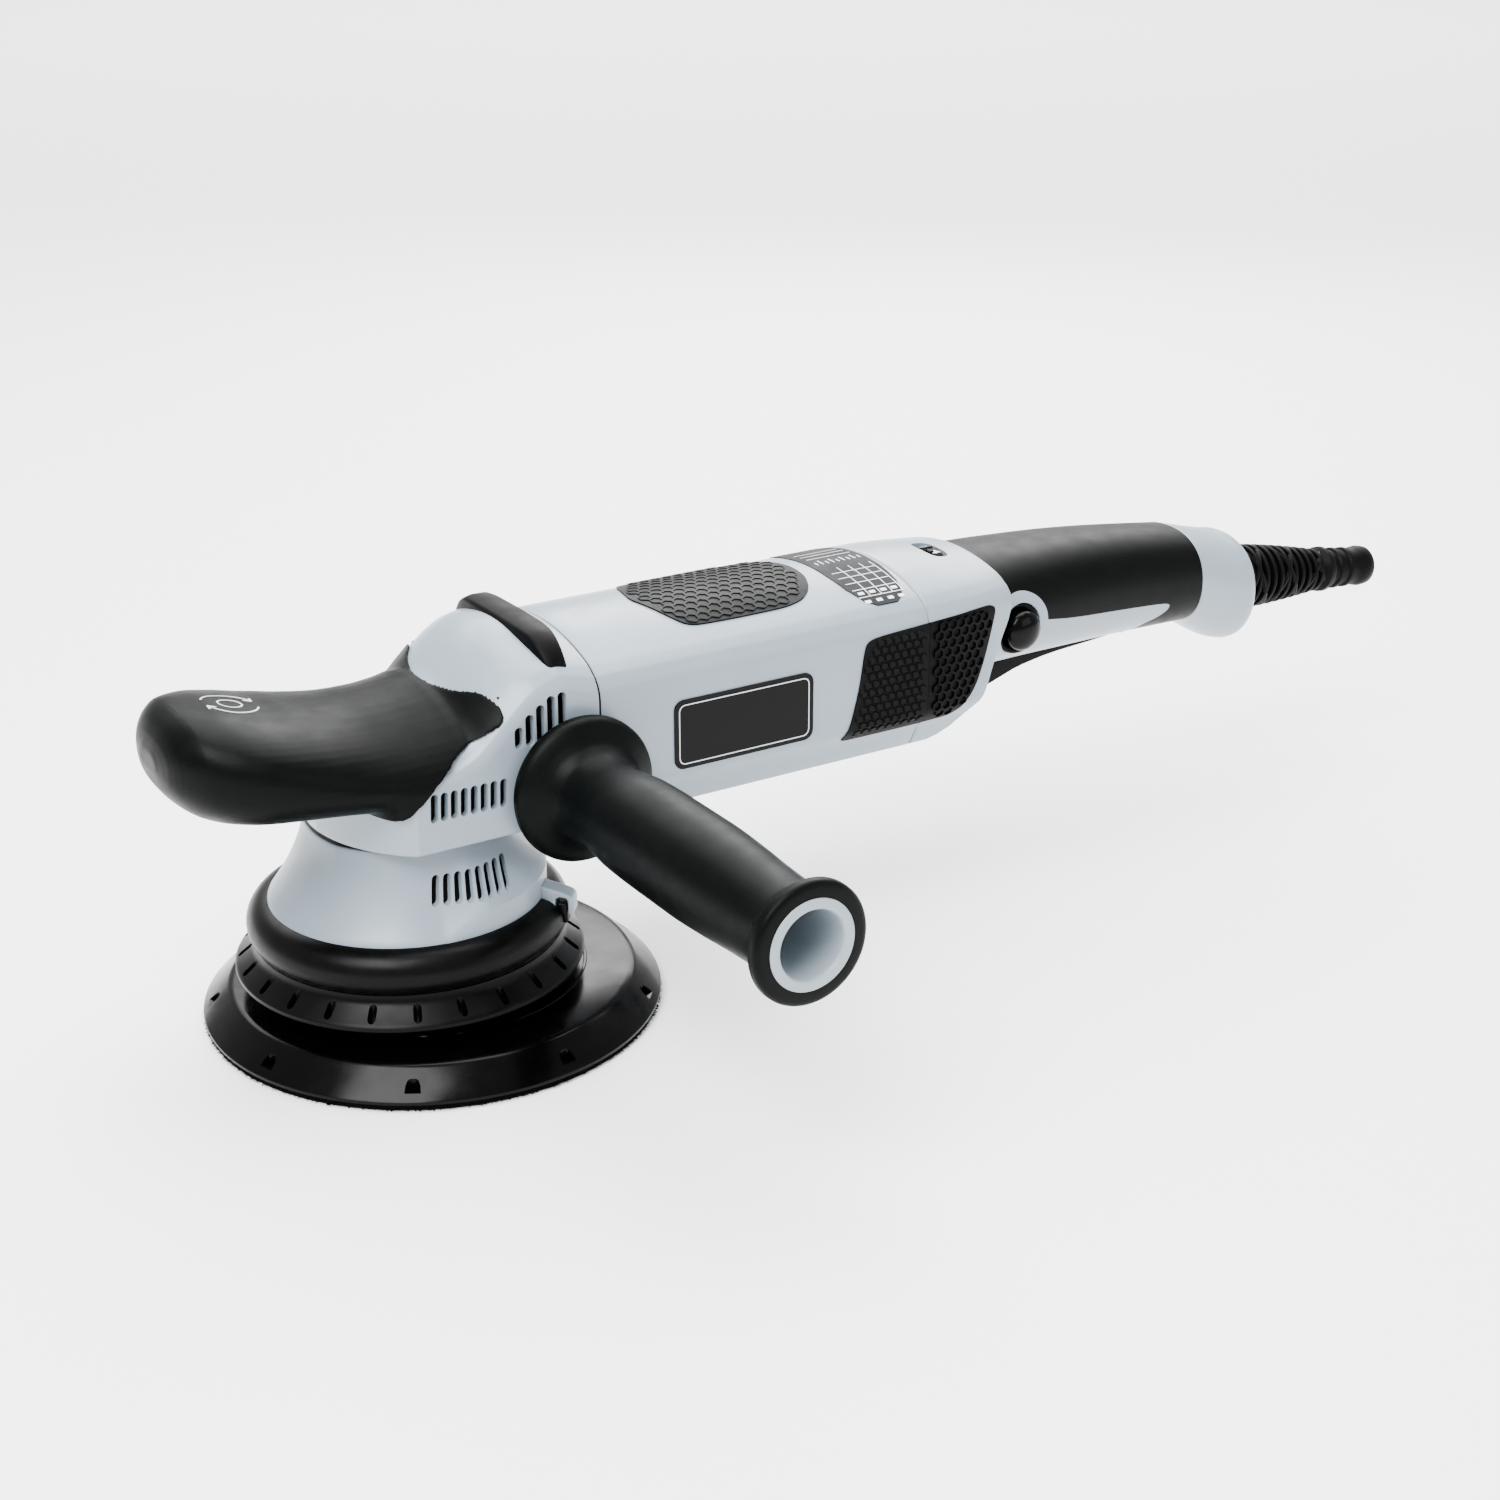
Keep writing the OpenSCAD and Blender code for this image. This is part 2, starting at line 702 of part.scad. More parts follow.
rear_w = [[179.5, 38], [190, 37.8], [200, 37], [210, 35.6], [220, 33.4], [232, 30.6]];
rear_top = [
    [179.5, body_top], [190, body_top - 0.1], [200, 123.4], [210, 122.5], [220, 121.6], [232, 120.8]
];
rear_x = [179.5, 190, 200, 210, 220];
// Rear edge of the shell, seen from the side
rear_edge = [
    [170, 50], [180.5, 60.8], [189, 62.6], [196, 66], [202, 71.4], [206.6, 79], [210.4, 89],
    [214.6, 98], [218, 105], [219, 110.5], [218.4, 116], [218, 124], [170, 135]
];

function rear_ring(x, t) =
    at_x(x, body_outline(along(rear_w, x), along(rear_top, x), body_bottom, t));

module rear_solid() {
    intersection() {
        loft([for (x = rear_x) rear_ring(x, 0)]);
        along_y(-60, 60) polygon(rear_edge);
    }
}

module rear_housing() {
    color(grey) difference() {
        rear_solid();
        intersection() {
            loft([for (x = [178.5, 190, 200, 210, 220]) rear_ring(x, wall)]);
            translate([-3.2, 0, 0]) along_y(-60, 60) polygon(rear_edge);
        }
        translate([200.9, -12, 118]) cube([7.2, 17, 20]);
        translate([211, 0, 100]) rotate([0, 90, 0]) cylinder(r = 12, h = 30);
    }
}

module intake_grilles() {
    color(black) intersection() {
        difference() {
            loft([for (x = rear_x) rear_ring(x, -1.2)]);
            loft([for (x = concat([178], rear_x, [222])) rear_ring(x, 0)]);
        }
        along_y(-60, 60) polygon(panel);
        translate([body_x1, -60, 60]) cube([60, 120, 80]);
    }
}

dial_x = 204.5;
dial_y = -3.5;
dial_z = 112.3;
dial_r = 11;

module speed_dial() {
    color(black) translate([dial_x, dial_y, dial_z]) rotate([0, 90, 0]) {
        difference() {
            translate([0, 0, -2.4]) cylinder(r = dial_r, h = 4.8);
            for (a = [0:20:340]) rotate([0, 0, a]) translate([dial_r + 0.5, 0, -3]) cylinder(r = 1, h = 6);
        }
        cylinder(r = 2, h = 8);
    }
}

module speed_board() {
    color("#2d5a3c") {
        difference() {
            translate([208.4, -12, 100]) cube([4, 18, 18]);
            translate([200, dial_y, dial_z]) rotate([0, 90, 0]) cylinder(r = 2.05, h = 30);
        }
        translate([184, -16, 98]) cube([27, 30, 2.1]);
    }
}

// ---- Rear handle ----

handle_top = [
    [190, 119.9], [228, 119.9], [245, 119.4], [262, 118.6], [280, 117.2], [300, 115], [grip_x1, 112.4]
];
handle_low = [[190, 78], [232, 77.6], [262, 77], [290, 76.4], [grip_x1, 75.5]];
handle_w = [[190, 31], [214, 30.4], [232, 28.6], [255, 26.4], [275, 24.6], [297, 22.8], [grip_x1, 21.5]];
handle_x = [196, 214, 232, 247, 262, 280, 300, grip_x1];
skin = 2.6;
button_x = 226.8;
button_z = 96;

function handle_ring(x, t) =
    let (top = along(handle_top, x) - t, low = along(handle_low, x) + t)
    at_x(x, oval(along(handle_w, x) - t, (top - low) / 2, (top + low) / 2, 2.3, 32));

module handle_solid(t, extra = 0) {
    loft([for (i = [0:len(handle_x) - 1])
        let (x = handle_x[i], end = i == len(handle_x) - 1 ? extra : 0)
        [for (q = handle_ring(x, t)) [q[0] + end, q[1], q[2]]]]);
}

// What stays grey on the handle's sides, seen from the side
module strip_outline() {
    polygon([
        [190, 60], [292, 60], [292, 80], [296, 83.5], [300, 84.5], [303.5, 90], [241, 95.6],
        [216, 105], [190, 105]
    ]);
    translate([button_x, button_z]) circle(13.5);
}

module behind_rear_housing() {
    along_y(-60, 60) polygon(rear_edge);
}

module trigger_slot() {
    translate([205, -9.6, 60]) cube([87, 19.2, 27]);
}

module handle_frame() {
    color(grey) difference() {
        union() {
            handle_solid(skin);
            intersection() {
                handle_solid(0);
                along_y(-60, 60) strip_outline();
            }
            translate([button_x, -22, button_z]) rotate([90, 0, 0]) cylinder(r = 9.6, h = 9);
        }
        difference() {
            handle_solid(2 * skin, 1);
            translate([button_x, -10, button_z]) rotate([90, 0, 0]) cylinder(r = 9.6, h = 24);
            translate([230.6, -6, 96]) cube([6, 40, 2.4]);
        }
        trigger_slot();
        behind_rear_housing();
        translate([button_x, -11.3, button_z]) rotate([90, 0, 0]) cylinder(r = button_d / 2 + 0.1, h = 24);
        translate([button_x, 0, button_z]) rotate([90, 0, 0]) cylinder(r = 3.3, h = 20);
        translate([288, 20, 81]) rotate([90, 0, 0]) cylinder(r = 2, h = 40);
    }
}

module handle_grip() {
    color(black) difference() {
        handle_solid(0);
        handle_solid(skin, 1);
        along_y(-60, 60) strip_outline();
        behind_rear_housing();
        translate([button_x, -22, button_z]) rotate([90, 0, 0]) cylinder(r = 9.6, h = 9);
    }
}

module trigger() {
    color(black) difference() {
        along_y(-9, 9) polygon([
            [214.5, 76], [215.6, 69], [218.4, 66.2], [223.6, 65.8], [232, 68.4], [243, 72], [258, 74.4],
            [282, 75.8], [289, 76.6], [291, 78.4], [291, 83], [289, 84.5], [217, 84.5], [214.5, 82.5]
        ]);
        translate([288, 20, 81]) rotate([90, 0, 0]) cylinder(r = 2.05, h = 40);
    }
}

module trigger_pin() {
    color(steel) translate([288, 14, 81]) rotate([90, 0, 0]) cylinder(r = 1.98, h = 28);
}

// Coil of rings joined by a post, plain enough to carry any spring's place and size
module coil(r, wire, h, turns) {
    pitch = (h - 2 * wire) / (turns - 1);
    for (i = [0:turns - 1]) translate([0, 0, wire + i * pitch]) rotate_extrude($fn = 24)
        translate([r, 0]) circle(wire, $fn = 13);
    translate([r, 0, wire]) cylinder(r = wire * 0.7, h = h - 2 * wire, $fn = 13);
}

module trigger_spring() {
    color(steel) translate([232, 0, 84.7]) coil(3.2, 0.5, 11, 6);
}

module lock_button() {
    color(black) translate([button_x, 0, button_z]) rotate([90, 0, 0]) {
        translate([0, 0, 23.5]) cylinder(r = button_d / 2, h = 8);
        intersection() {
            translate([0, 0, 31.5]) cylinder(r = button_d / 2, h = 3);
            translate([0, 0, 24]) sphere(r = 10.4, $fn = 64);
        }
        translate([0, 0, 8]) cylinder(r = 3, h = 16);
    }
}

module lock_spring() {
    color(steel) translate([button_x, 0, button_z]) rotate([90, 0, 0])
        translate([0, 0, 15.2]) coil(4.6, 0.5, 8.1, 5);
}

module switch_body() {
    color("#2b2d30") difference() {
        translate([241, -9, 92]) cube([32, 18, 16]);
        translate([256, 0, 91]) cylinder(r = 2.56, h = 12);
    }
}

module switch_plunger() {
    color("#c8c8c0") {
        translate([256, 0, 87.4]) cylinder(r = 2.5, h = 9);
        translate([256, 0, 87.4]) sphere(r = 2.5);
    }
}

// ---- End cap and cable ----

cap_rings = [
    [grip_x1, 21.6, 18.5, 94], [323.5, 21.7, 18.8, 93], [329, 22, 19.6, 90.7], [335, 22.3, 20.6, 88.2],
    [341, 22.4, 21.4, 86], [346, 22.3, 21.7, 85], [350.3, 21.2, 20.8, 84.8], [352.3, 18.6, 18.4, 84.8]
];

module cap_solid(t, extra) {
    loft([for (q = cap_rings) at_x(q[0] + extra, oval(q[1] - t, q[2] - t, q[3], 2.15, 32))]);
}

boot_start = [340, 0, 86.9];
boot_tilt = 5.7;

module end_cap() {
    color(grey) difference() {
        cap_solid(0, 0);
        cap_solid(wall, -wall);
        translate(boot_start) rotate([0, 90 + boot_tilt, 0]) cylinder(r = 13.7, h = 30);
    }
}

module cord_clamp() {
    color(black) difference() {
        translate([326, -13, 80]) cube([8, 26, 5]);
        for (y = [-9.5, 9.5]) translate([330, y, 78]) cylinder(r = 1.7, h = 10);
        translate([324, 0, 86.6]) rotate([0, 90, 0]) cylinder(r = 4.2, h = 14);
    }
}

rib_count = 11;
rib_start = 15;
rib_pitch = 4.3;
cord_r = 4.1;

function boot_r(s) = 13.3 - 0.05 * (s - 12) - 0.0011 * pow(s - 12, 2);
function rib_points(i) = let (s = rib_start + i * rib_pitch) [
    [boot_r(s) - 1.6, s], [boot_r(s), s + 0.4], [boot_r(s), s + 2], [boot_r(s) - 1.6, s + 2.4]
];

module cable_boot() {
    color(black) translate(boot_start) rotate([0, 90 + boot_tilt, 0]) rotate_extrude() polygon(concat(
        [[cord_r, 0], [16.5, 0], [16.5, 6], [13.5, 6.4], [13.5, 14], [11.8, 14.6]],
        [for (i = [0:rib_count - 1]) each rib_points(i)],
        [[8.4, 63], [9, 66], [7.6, 67], [7.6, 70], [8.4, 70.6], [8.4, 72.4], [7.4, 73], [7.4, 76],
         [8.1, 76.6], [8.1, 78.4], [7.2, 79], [7.2, 83], [7.9, 84], [8.1, 87], [7.6, 89.6], [6.6, 90.4],
         [cord_r, 90.4]]
    ));
}

// ---- Side handle ----

side_start = 40;

module on_side_axis() {
    translate([socket_x, 0, socket_z]) rotate([90, 0, 0]) children();
}

module side_handle_stud() {
    color(steel) on_side_axis() {
        translate([0, 0, 24]) cylinder(r = m8_r - 0.05, h = 28.2);
        translate([0, 0, 52.2]) cylinder(r = 7, h = 5, $fn = 6);
    }
}

module side_handle_core() {
    end = side_start + side_len;
    color(grey) on_side_axis() difference() {
        union() {
            translate([0, 0, side_start]) cylinder(r = 12, h = side_len - 6);
            translate([0, 0, end - 6.2]) cylinder(r = 13.7, h = 6.6);
        }
        translate([0, 0, side_start + 11.1]) cylinder(r = 10.3, h = side_len);
        translate([0, 0, side_start - 1]) cylinder(r = m8_r + 0.02, h = 20);
    }
}

module side_handle_grip() {
    s0 = side_start;
    s1 = side_start + side_len;
    color(black) on_side_axis() rotate_extrude($fn = 72) polygon([
        [12.05, s0], [21.5, s0], [23.4, s0 + 1], [24, s0 + 2.8], [24, s0 + 4.6], [23, s0 + 6.6],
        [20, s0 + 8.6], [16.6, s0 + 11], [14.4, s0 + 15], [13.9, s0 + 20], [14.5, s0 + 27],
        [side_r - 0.3, s0 + 38], [side_r, s0 + 52], [side_r, s0 + 74], [side_r - 0.6, s0 + 90],
        [side_r - 1.6, s0 + 105], [14, s0 + 116], [14.2, s0 + 121], [16, s0 + 124.6], [18, s0 + 126.6],
        [18.6, s1 - 2.4], [17.8, s1 - 0.4], [16.6, s1], [13.76, s1], [13.76, s1 - 6.3], [12.05, s1 - 6.3]
    ]);
}

hook_face();
backing_plate();
plate_bolt();
plate_washer();
pad_spindle();
pad_bearings();
counterweight();
spindle_shaft();
gear_nut();
crown_gear();
spindle_lower_bearing();
spindle_upper_bearing();
vent_ring();
bumper_ring();
skirt();
bearing_plate();
gear_case();
gear_case_screws();
head_cover();
top_ridge();
palm_grip();
motor_shaft();
pinion_gear();
armature_core();
armature_windings();
commutator();
cooling_fan();
front_motor_bearing();
rear_motor_bearing();
bearing_bracket();
stator_core();
field_coils();
fan_baffle();
brush_holders();
carbon_brushes();
motor_housing();
top_pad();
rating_label();
badges();
side_pads();
rear_housing();
intake_grilles();
speed_dial();
speed_board();
handle_frame();
handle_grip();
trigger();
trigger_pin();
trigger_spring();
lock_button();
lock_spring();
switch_body();
switch_plunger();
end_cap();
cord_clamp();
cable_boot();
side_handle_stud();
side_handle_core();
side_handle_grip();
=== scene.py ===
import json
import math

import bmesh
import bpy
from mathutils import Matrix, Vector


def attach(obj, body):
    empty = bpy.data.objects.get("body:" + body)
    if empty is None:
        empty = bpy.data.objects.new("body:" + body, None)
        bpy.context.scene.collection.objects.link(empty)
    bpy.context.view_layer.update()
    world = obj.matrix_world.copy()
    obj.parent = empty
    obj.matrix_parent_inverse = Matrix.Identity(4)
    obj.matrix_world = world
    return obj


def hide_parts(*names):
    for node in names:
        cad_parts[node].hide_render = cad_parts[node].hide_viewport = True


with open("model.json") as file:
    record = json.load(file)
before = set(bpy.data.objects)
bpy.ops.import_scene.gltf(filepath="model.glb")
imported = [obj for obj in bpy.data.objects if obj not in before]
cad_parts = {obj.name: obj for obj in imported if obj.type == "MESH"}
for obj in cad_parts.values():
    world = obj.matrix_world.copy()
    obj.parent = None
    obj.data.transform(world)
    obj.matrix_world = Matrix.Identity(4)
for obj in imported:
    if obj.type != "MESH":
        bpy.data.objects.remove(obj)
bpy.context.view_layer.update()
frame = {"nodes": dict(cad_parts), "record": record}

# Every length below is in millimetres; meshes are scaled to metres when they are made.
MM = 0.001

# ---- Shared sizes ----

PLATE_R = 75
ECC = 7.5
NOTCHES = 9
RING_SLOTS = 24
ROLL_R = 44
ROLL_TUBE = 8
SEAM_Z = 69.5
NOSE_C = 18.8
NOSE_R = 49.3
SKIRT_REAR = 42.5
BODY_W = 38
BODY_TOP = 124
BODY_BOTTOM = 61.5
BODY_X0 = 52
BODY_X1 = 179.5
ARCH_R = 80
GRIP_X1 = 320.5
BUTTON_X = 226.8
BUTTON_Z = 96
SOCKET_X = 42.5
SOCKET_Z = 82
DIAL = (204.5, -3.5, 112.3)
BOOT_START = (340, 0, 86.9)
BOOT_TILT = math.radians(5.7)
SIDE_START = 40
SIDE_LEN = 131
# Direction of the hook that holds the roll's ear, in degrees
HOOK_A = -40


# ---- Curves ----


def curve(knots, x):
    """Smooth value at x of a curve through (x, value) knots, without overshoot."""
    if x <= knots[0][0]:
        return knots[0][1]
    if x >= knots[-1][0]:
        return knots[-1][1]
    slopes = [(b[1] - a[1]) / (b[0] - a[0]) for a, b in zip(knots, knots[1:])]
    i = max(j for j in range(len(slopes)) if knots[j][0] <= x)

    def tangent(j):
        if j == 0 or j == len(slopes):
            return slopes[min(j, len(slopes) - 1)]
        a, b = slopes[j - 1], slopes[j]
        return 0 if a * b <= 0 else 2 * a * b / (a + b)

    h = knots[i + 1][0] - knots[i][0]
    t = (x - knots[i][0]) / h
    m0, m1 = tangent(i) * h, tangent(i + 1) * h
    y0, y1 = knots[i][1], knots[i + 1][1]
    return (
        (2 * t**3 - 3 * t**2 + 1) * y0
        + (t**3 - 2 * t**2 + t) * m0
        + (3 * t**2 - 2 * t**3) * y1
        + (t**3 - t**2) * m1
    )


def spread(a, b, n):
    return [a + (b - a) * i / (n - 1) for i in range(n)]


def rounded(points, times=3):
    """Closed outline with its corners cut again and again until they are round."""
    for _ in range(times):
        out = []
        for p, q in zip(points, points[1:] + points[:1]):
            out.append(tuple(0.8 * a + 0.2 * b for a, b in zip(p, q)))
            out.append(tuple(0.2 * a + 0.8 * b for a, b in zip(p, q)))
        points = out
    return points


def circle(x, y, r, n=48):
    return [(x + r * math.cos(a), y + r * math.sin(a)) for a in spread(0, 2 * math.pi, n + 1)[:-1]]


def mirrored(half):
    """Outline of (y, z) points from half of one that ends on its middle line."""
    return half + [(-y, z) for y, z in reversed(half[:-1])]


def superellipse(a, b, power, n):
    def part(v):
        return math.copysign(abs(v) ** (2 / power), v)

    return [
        (a * part(math.cos(2 * math.pi * i / n)), b * part(math.sin(2 * math.pi * i / n)))
        for i in range(n)
    ]


def stadium(length, width, n=10):
    """Outline of a slot with round ends, its long way along the second axis."""
    r = width / 2
    half = length / 2 - r
    top = [(r * math.cos(a), half + r * math.sin(a)) for a in spread(0, math.pi, n)]
    return top + [(-x, -y) for x, y in top]


# ---- Meshes ----


def new_mesh(name, points, faces):
    mesh = bpy.data.meshes.new(name)
    mesh.from_pydata([[c * MM for c in p] for p in points], [], faces)
    return mesh


def placed(name, mesh, paint, body, sharp):
    """Object in the scene. One without a finish is a cutter and rides with nothing."""
    obj = bpy.data.objects.new(name, mesh)
    bpy.context.scene.collection.objects.link(obj)
    if paint:
        mesh.materials.append(paint)
        smooth(obj, sharp)
        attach(obj, body)
    return obj


def mesh_piece(name, points, faces, paint, body="tool_body", sharp=32):
    mesh = new_mesh(name, points, faces)
    bm = bmesh.new()
    bm.from_mesh(mesh)
    bmesh.ops.remove_doubles(bm, verts=bm.verts, dist=1e-7)
    bmesh.ops.recalc_face_normals(bm, faces=bm.faces)
    bm.to_mesh(mesh)
    bm.free()
    return placed(name, mesh, paint, body, sharp)


def gathered(shapes):
    """Points and faces of several (points, faces) shapes together."""
    points, faces = [], []
    for new_points, new_faces in shapes:
        start = len(points)
        points += new_points
        faces += [tuple(start + i for i in f) for f in new_faces]
    return points, faces


def smooth(obj, sharp=32):
    obj.data.polygons.foreach_set("use_smooth", [True] * len(obj.data.polygons))
    obj.data.set_sharp_from_angle(angle=math.radians(sharp))


def ring_faces(count, n, around=False):
    """Quads between rings of n points, and round to the first ring if asked."""
    rows = count if around else count - 1
    return [
        (k * n + i, k * n + (i + 1) % n, (k + 1) % count * n + (i + 1) % n, (k + 1) % count * n + i)
        for k in range(rows)
        for i in range(n)
    ]


def loft(name, rings, paint, body="tool_body", sharp=32, around=False):
    """Solid through closed rings of points. Its ends are closed unless it goes round."""
    n = len(rings[0])
    faces = ring_faces(len(rings), n, around)
    if not around:
        faces += [tuple(range(n)), tuple(range((len(rings) - 1) * n, len(rings) * n))]
    return mesh_piece(name, [p for r in rings for p in r], faces, paint, body, sharp)


def revolve(name, profile, paint, body="tool_body", place=None, n=120, sharp=32):
    """Solid of a closed (radius, height) profile turned round an axis."""
    rings = []
    for i in range(n):
        a = 2 * math.pi * i / n
        ring = [(r * math.cos(a), r * math.sin(a), z) for r, z in profile]
        rings.append([tuple(place @ Vector(p)) for p in ring] if place else ring)
    return loft(name, rings, paint, body, sharp, around=True)


def prism(name, outline, axis, a0, a1, paint=None, body="tool_body"):
    """Straight prism of an outline along X, Y or Z. Outline axes are (y,z), (x,z) or (x,y)."""
    order = {
        "x": lambda p, a: (a, p[0], p[1]),
        "y": lambda p, a: (p[0], a, p[1]),
        "z": lambda p, a: (p[0], p[1], a),
    }[axis]
    rings = [[order(p, a) for p in outline] for a in (a0, a1)]
    return loft(name, rings, paint, body)


def block(name, low, high, paint=None, body="tool_body"):
    outline = [(low[0], low[1]), (high[0], low[1]), (high[0], high[1]), (low[0], high[1])]
    return prism(name, outline, "z", low[2], high[2], paint, body)


def facing_near(x, y, z):
    """Place whose local Z points out of the near side."""
    return Matrix.Translation((x, y, z)) @ Matrix.Rotation(math.radians(90), 4, "X")


def bore(name, r, low, high, place, n=64):
    return revolve(name, [(0.01, low), (r, low), (r, high), (0.01, high)], None, place=place, n=n)


def settle(obj):
    """Turns the object's modifiers into mesh."""
    bpy.context.view_layer.update()
    graph = bpy.context.evaluated_depsgraph_get()
    mesh = bpy.data.meshes.new_from_object(obj.evaluated_get(graph))
    obj.modifiers.clear()
    obj.data = mesh
    return obj


def carve(obj, cutter, how="DIFFERENCE", sharp=32):
    """Cuts the cutter out of obj, or keeps or adds it, and removes the cutter."""
    mod = obj.modifiers.new("carve", "BOOLEAN")
    mod.operation = how
    mod.solver = "MANIFOLD"
    mod.object = cutter
    paint = obj.data.materials[0] if obj.data.materials else None
    settle(obj)
    bpy.data.objects.remove(cutter)
    if paint:
        obj.data.materials.clear()
        obj.data.materials.append(paint)
        obj.data.polygons.foreach_set("material_index", [0] * len(obj.data.polygons))
        smooth(obj, sharp)
    return obj


def join(name, parts, paint=None, body="tool_body", sharp=32):
    """One object made of several, for pieces or cutters that don't touch each other."""
    shapes = []
    for part in parts:
        shapes.append((
            [tuple(part.matrix_world @ v.co / MM) for v in part.data.vertices],
            [tuple(f.vertices) for f in part.data.polygons],
        ))
        bpy.data.objects.remove(part)
    return placed(name, new_mesh(name, *gathered(shapes)), paint, body, sharp)


def turned(obj, degrees, out=0):
    """Turns a piece about the Z axis through (out, 0)."""
    obj.data.transform(Matrix.Translation((out * MM, 0, 0)) @ Matrix.Rotation(math.radians(degrees), 4, "Z"))
    return obj


def soften(obj, voxel, rounds, sharp=60):
    """Rebuilds the surface with even faces and eases its edges and inner corners."""
    mod = obj.modifiers.new("remesh", "REMESH")
    mod.mode = "VOXEL"
    mod.voxel_size = voxel * MM
    settle(obj)
    mod = obj.modifiers.new("ease", "SMOOTH")
    mod.factor = 0.5
    mod.iterations = rounds
    settle(obj)
    if obj.data.materials:
        smooth(obj, sharp)
    return obj


def keep_largest(obj):
    """Drop the small loose shells that a cut leaves beside the main one."""
    mesh = bmesh.new()
    mesh.from_mesh(obj.data)
    left, shells = set(mesh.faces), []
    while left:
        queue, shell = [left.pop()], []
        while queue:
            face = queue.pop()
            shell.append(face)
            near = {f for e in face.edges for f in e.link_faces} & left
            left -= near
            queue += near
        shells.append(shell)
    shells.sort(key=len)
    extra = [f for shell in shells[:-1] for f in shell]
    bmesh.ops.delete(mesh, geom=extra, context="FACES")
    mesh.to_mesh(obj.data)
    mesh.free()


def bevelled(obj, width, segments=3, angle=30, sharp=40):
    mod = obj.modifiers.new("bevel", "BEVEL")
    mod.width = width * MM
    mod.segments = segments
    mod.limit_method = "ANGLE"
    mod.angle_limit = math.radians(angle)
    settle(obj)
    smooth(obj, sharp)
    return obj


# ---- Materials ----


def colour(hex_code):
    """Linear colour of an sRGB hex code."""
    parts = [int(hex_code[i : i + 2], 16) / 255 for i in (1, 3, 5)]
    return [c / 12.92 if c <= 0.04045 else ((c + 0.055) / 1.055) ** 2.4 for c in parts] + [1]


def add_noise(tree, coord, scale, detail=4):
    noise = tree.nodes.new("ShaderNodeTexNoise")
    noise.inputs["Scale"].default_value = scale
    noise.inputs["Detail"].default_value = detail
    tree.links.new(coord.outputs["Object"], noise.inputs["Vector"])
    return noise


def add_range(tree, source, low, high):
    node = tree.nodes.new("ShaderNodeMapRange")
    node.inputs["From Min"].default_value = 0.3
    node.inputs["From Max"].default_value = 0.7
    node.inputs["To Min"].default_value = low
    node.inputs["To Max"].default_value = high
    tree.links.new(source, node.inputs["Value"])
    return node.outputs["Result"]


def make_paint(
    name, hex_code, rough, spread_of=0.05, tint=0.06, grain=2500, bump=0.05, metal=0,
    coat=0, specular=0.5
):
    """Procedural finish: slow colour drift, patchy roughness and a fine moulded grain."""
    mat = bpy.data.materials.new("finish_" + name)
    mat["slot"] = "label" if name.endswith("print") else name
    mat.use_nodes = True
    tree = mat.node_tree
    shader = tree.nodes["Principled BSDF"]
    coord = tree.nodes.new("ShaderNodeTexCoord")
    drift = add_noise(tree, coord, 35, 3)
    mix = tree.nodes.new("ShaderNodeMix")
    mix.data_type = "RGBA"
    base = colour(hex_code)
    mix.inputs["A"].default_value = [c * (1 - tint) for c in base[:3]] + [1]
    mix.inputs["B"].default_value = [min(1, c * (1 + tint)) for c in base[:3]] + [1]
    tree.links.new(add_range(tree, drift.outputs["Fac"], 0, 1), mix.inputs["Factor"])
    tree.links.new(mix.outputs["Result"], shader.inputs["Base Color"])
    patches = add_noise(tree, coord, 140, 5)
    low, high = rough - spread_of, rough + spread_of
    tree.links.new(add_range(tree, patches.outputs["Fac"], low, high), shader.inputs["Roughness"])
    fine = add_noise(tree, coord, grain, 2)
    relief = tree.nodes.new("ShaderNodeBump")
    relief.inputs["Strength"].default_value = bump
    relief.inputs["Distance"].default_value = 0.0002
    tree.links.new(fine.outputs["Fac"], relief.inputs["Height"])
    tree.links.new(relief.outputs["Normal"], shader.inputs["Normal"])
    shader.inputs["Metallic"].default_value = metal
    shader.inputs["Coat Weight"].default_value = coat
    shader.inputs["Coat Roughness"].default_value = 0.12
    shader.inputs["Specular IOR Level"].default_value = specular
    return mat


PAINT = {
    "grey_shell": make_paint("grey_shell", "#77838d", 0.36, grain=3500, bump=0.03, tint=0.025, coat=0.1),
    "grey_plastic": make_paint("grey_plastic", "#828d95", 0.45, grain=3500, bump=0.06, tint=0.03),
    "black_rubber": make_paint("black_rubber", "#020303", 0.42, grain=4200, bump=0.1, tint=0.15, specular=0.05),
    "gloss_rubber": make_paint("gloss_rubber", "#030303", 0.34, grain=3000, bump=0.04, tint=0.15, specular=0.07),
    "black_plastic": make_paint("black_plastic", "#030303", 0.48, grain=3000, bump=0.1, tint=0.12, specular=0.05),
    "gloss_black": make_paint("gloss_black", "#010101", 0.2, grain=1500, bump=0.03, tint=0.12, specular=0.08),
    "hook_fabric": make_paint("hook_fabric", "#040404", 0.9, grain=2200, bump=0.7, tint=0.3, specular=0.03),
    "ivory_plastic": make_paint("ivory_plastic", "#d8d8cf", 0.4, grain=3000, bump=0.05),
    "steel": make_paint("steel", "#a6a9ac", 0.3, grain=5000, bump=0.08, metal=1),
    "cast_alloy": make_paint("cast_alloy", "#b5b7b9", 0.45, grain=1800, bump=0.25, metal=1),
    "copper": make_paint("copper", "#b06a3c", 0.35, grain=6000, bump=0.1, metal=1),
    "carbon": make_paint("carbon", "#232325", 0.6, grain=4000, bump=0.15),
    "label": make_paint("label", "#1b1d20", 0.5, grain=3500, bump=0.05, tint=0.04, specular=0.05),
    "board": make_paint("board", "#2d5a3c", 0.4, grain=3000, bump=0.08),
}
PRINT = make_paint("white_print", "#e4e6e6", 0.5, grain=3000, bump=0.03, tint=0.02)
BADGE_PRINT = make_paint("badge_print", "#b9bec1", 0.4, grain=3000, bump=0.03, tint=0.03)
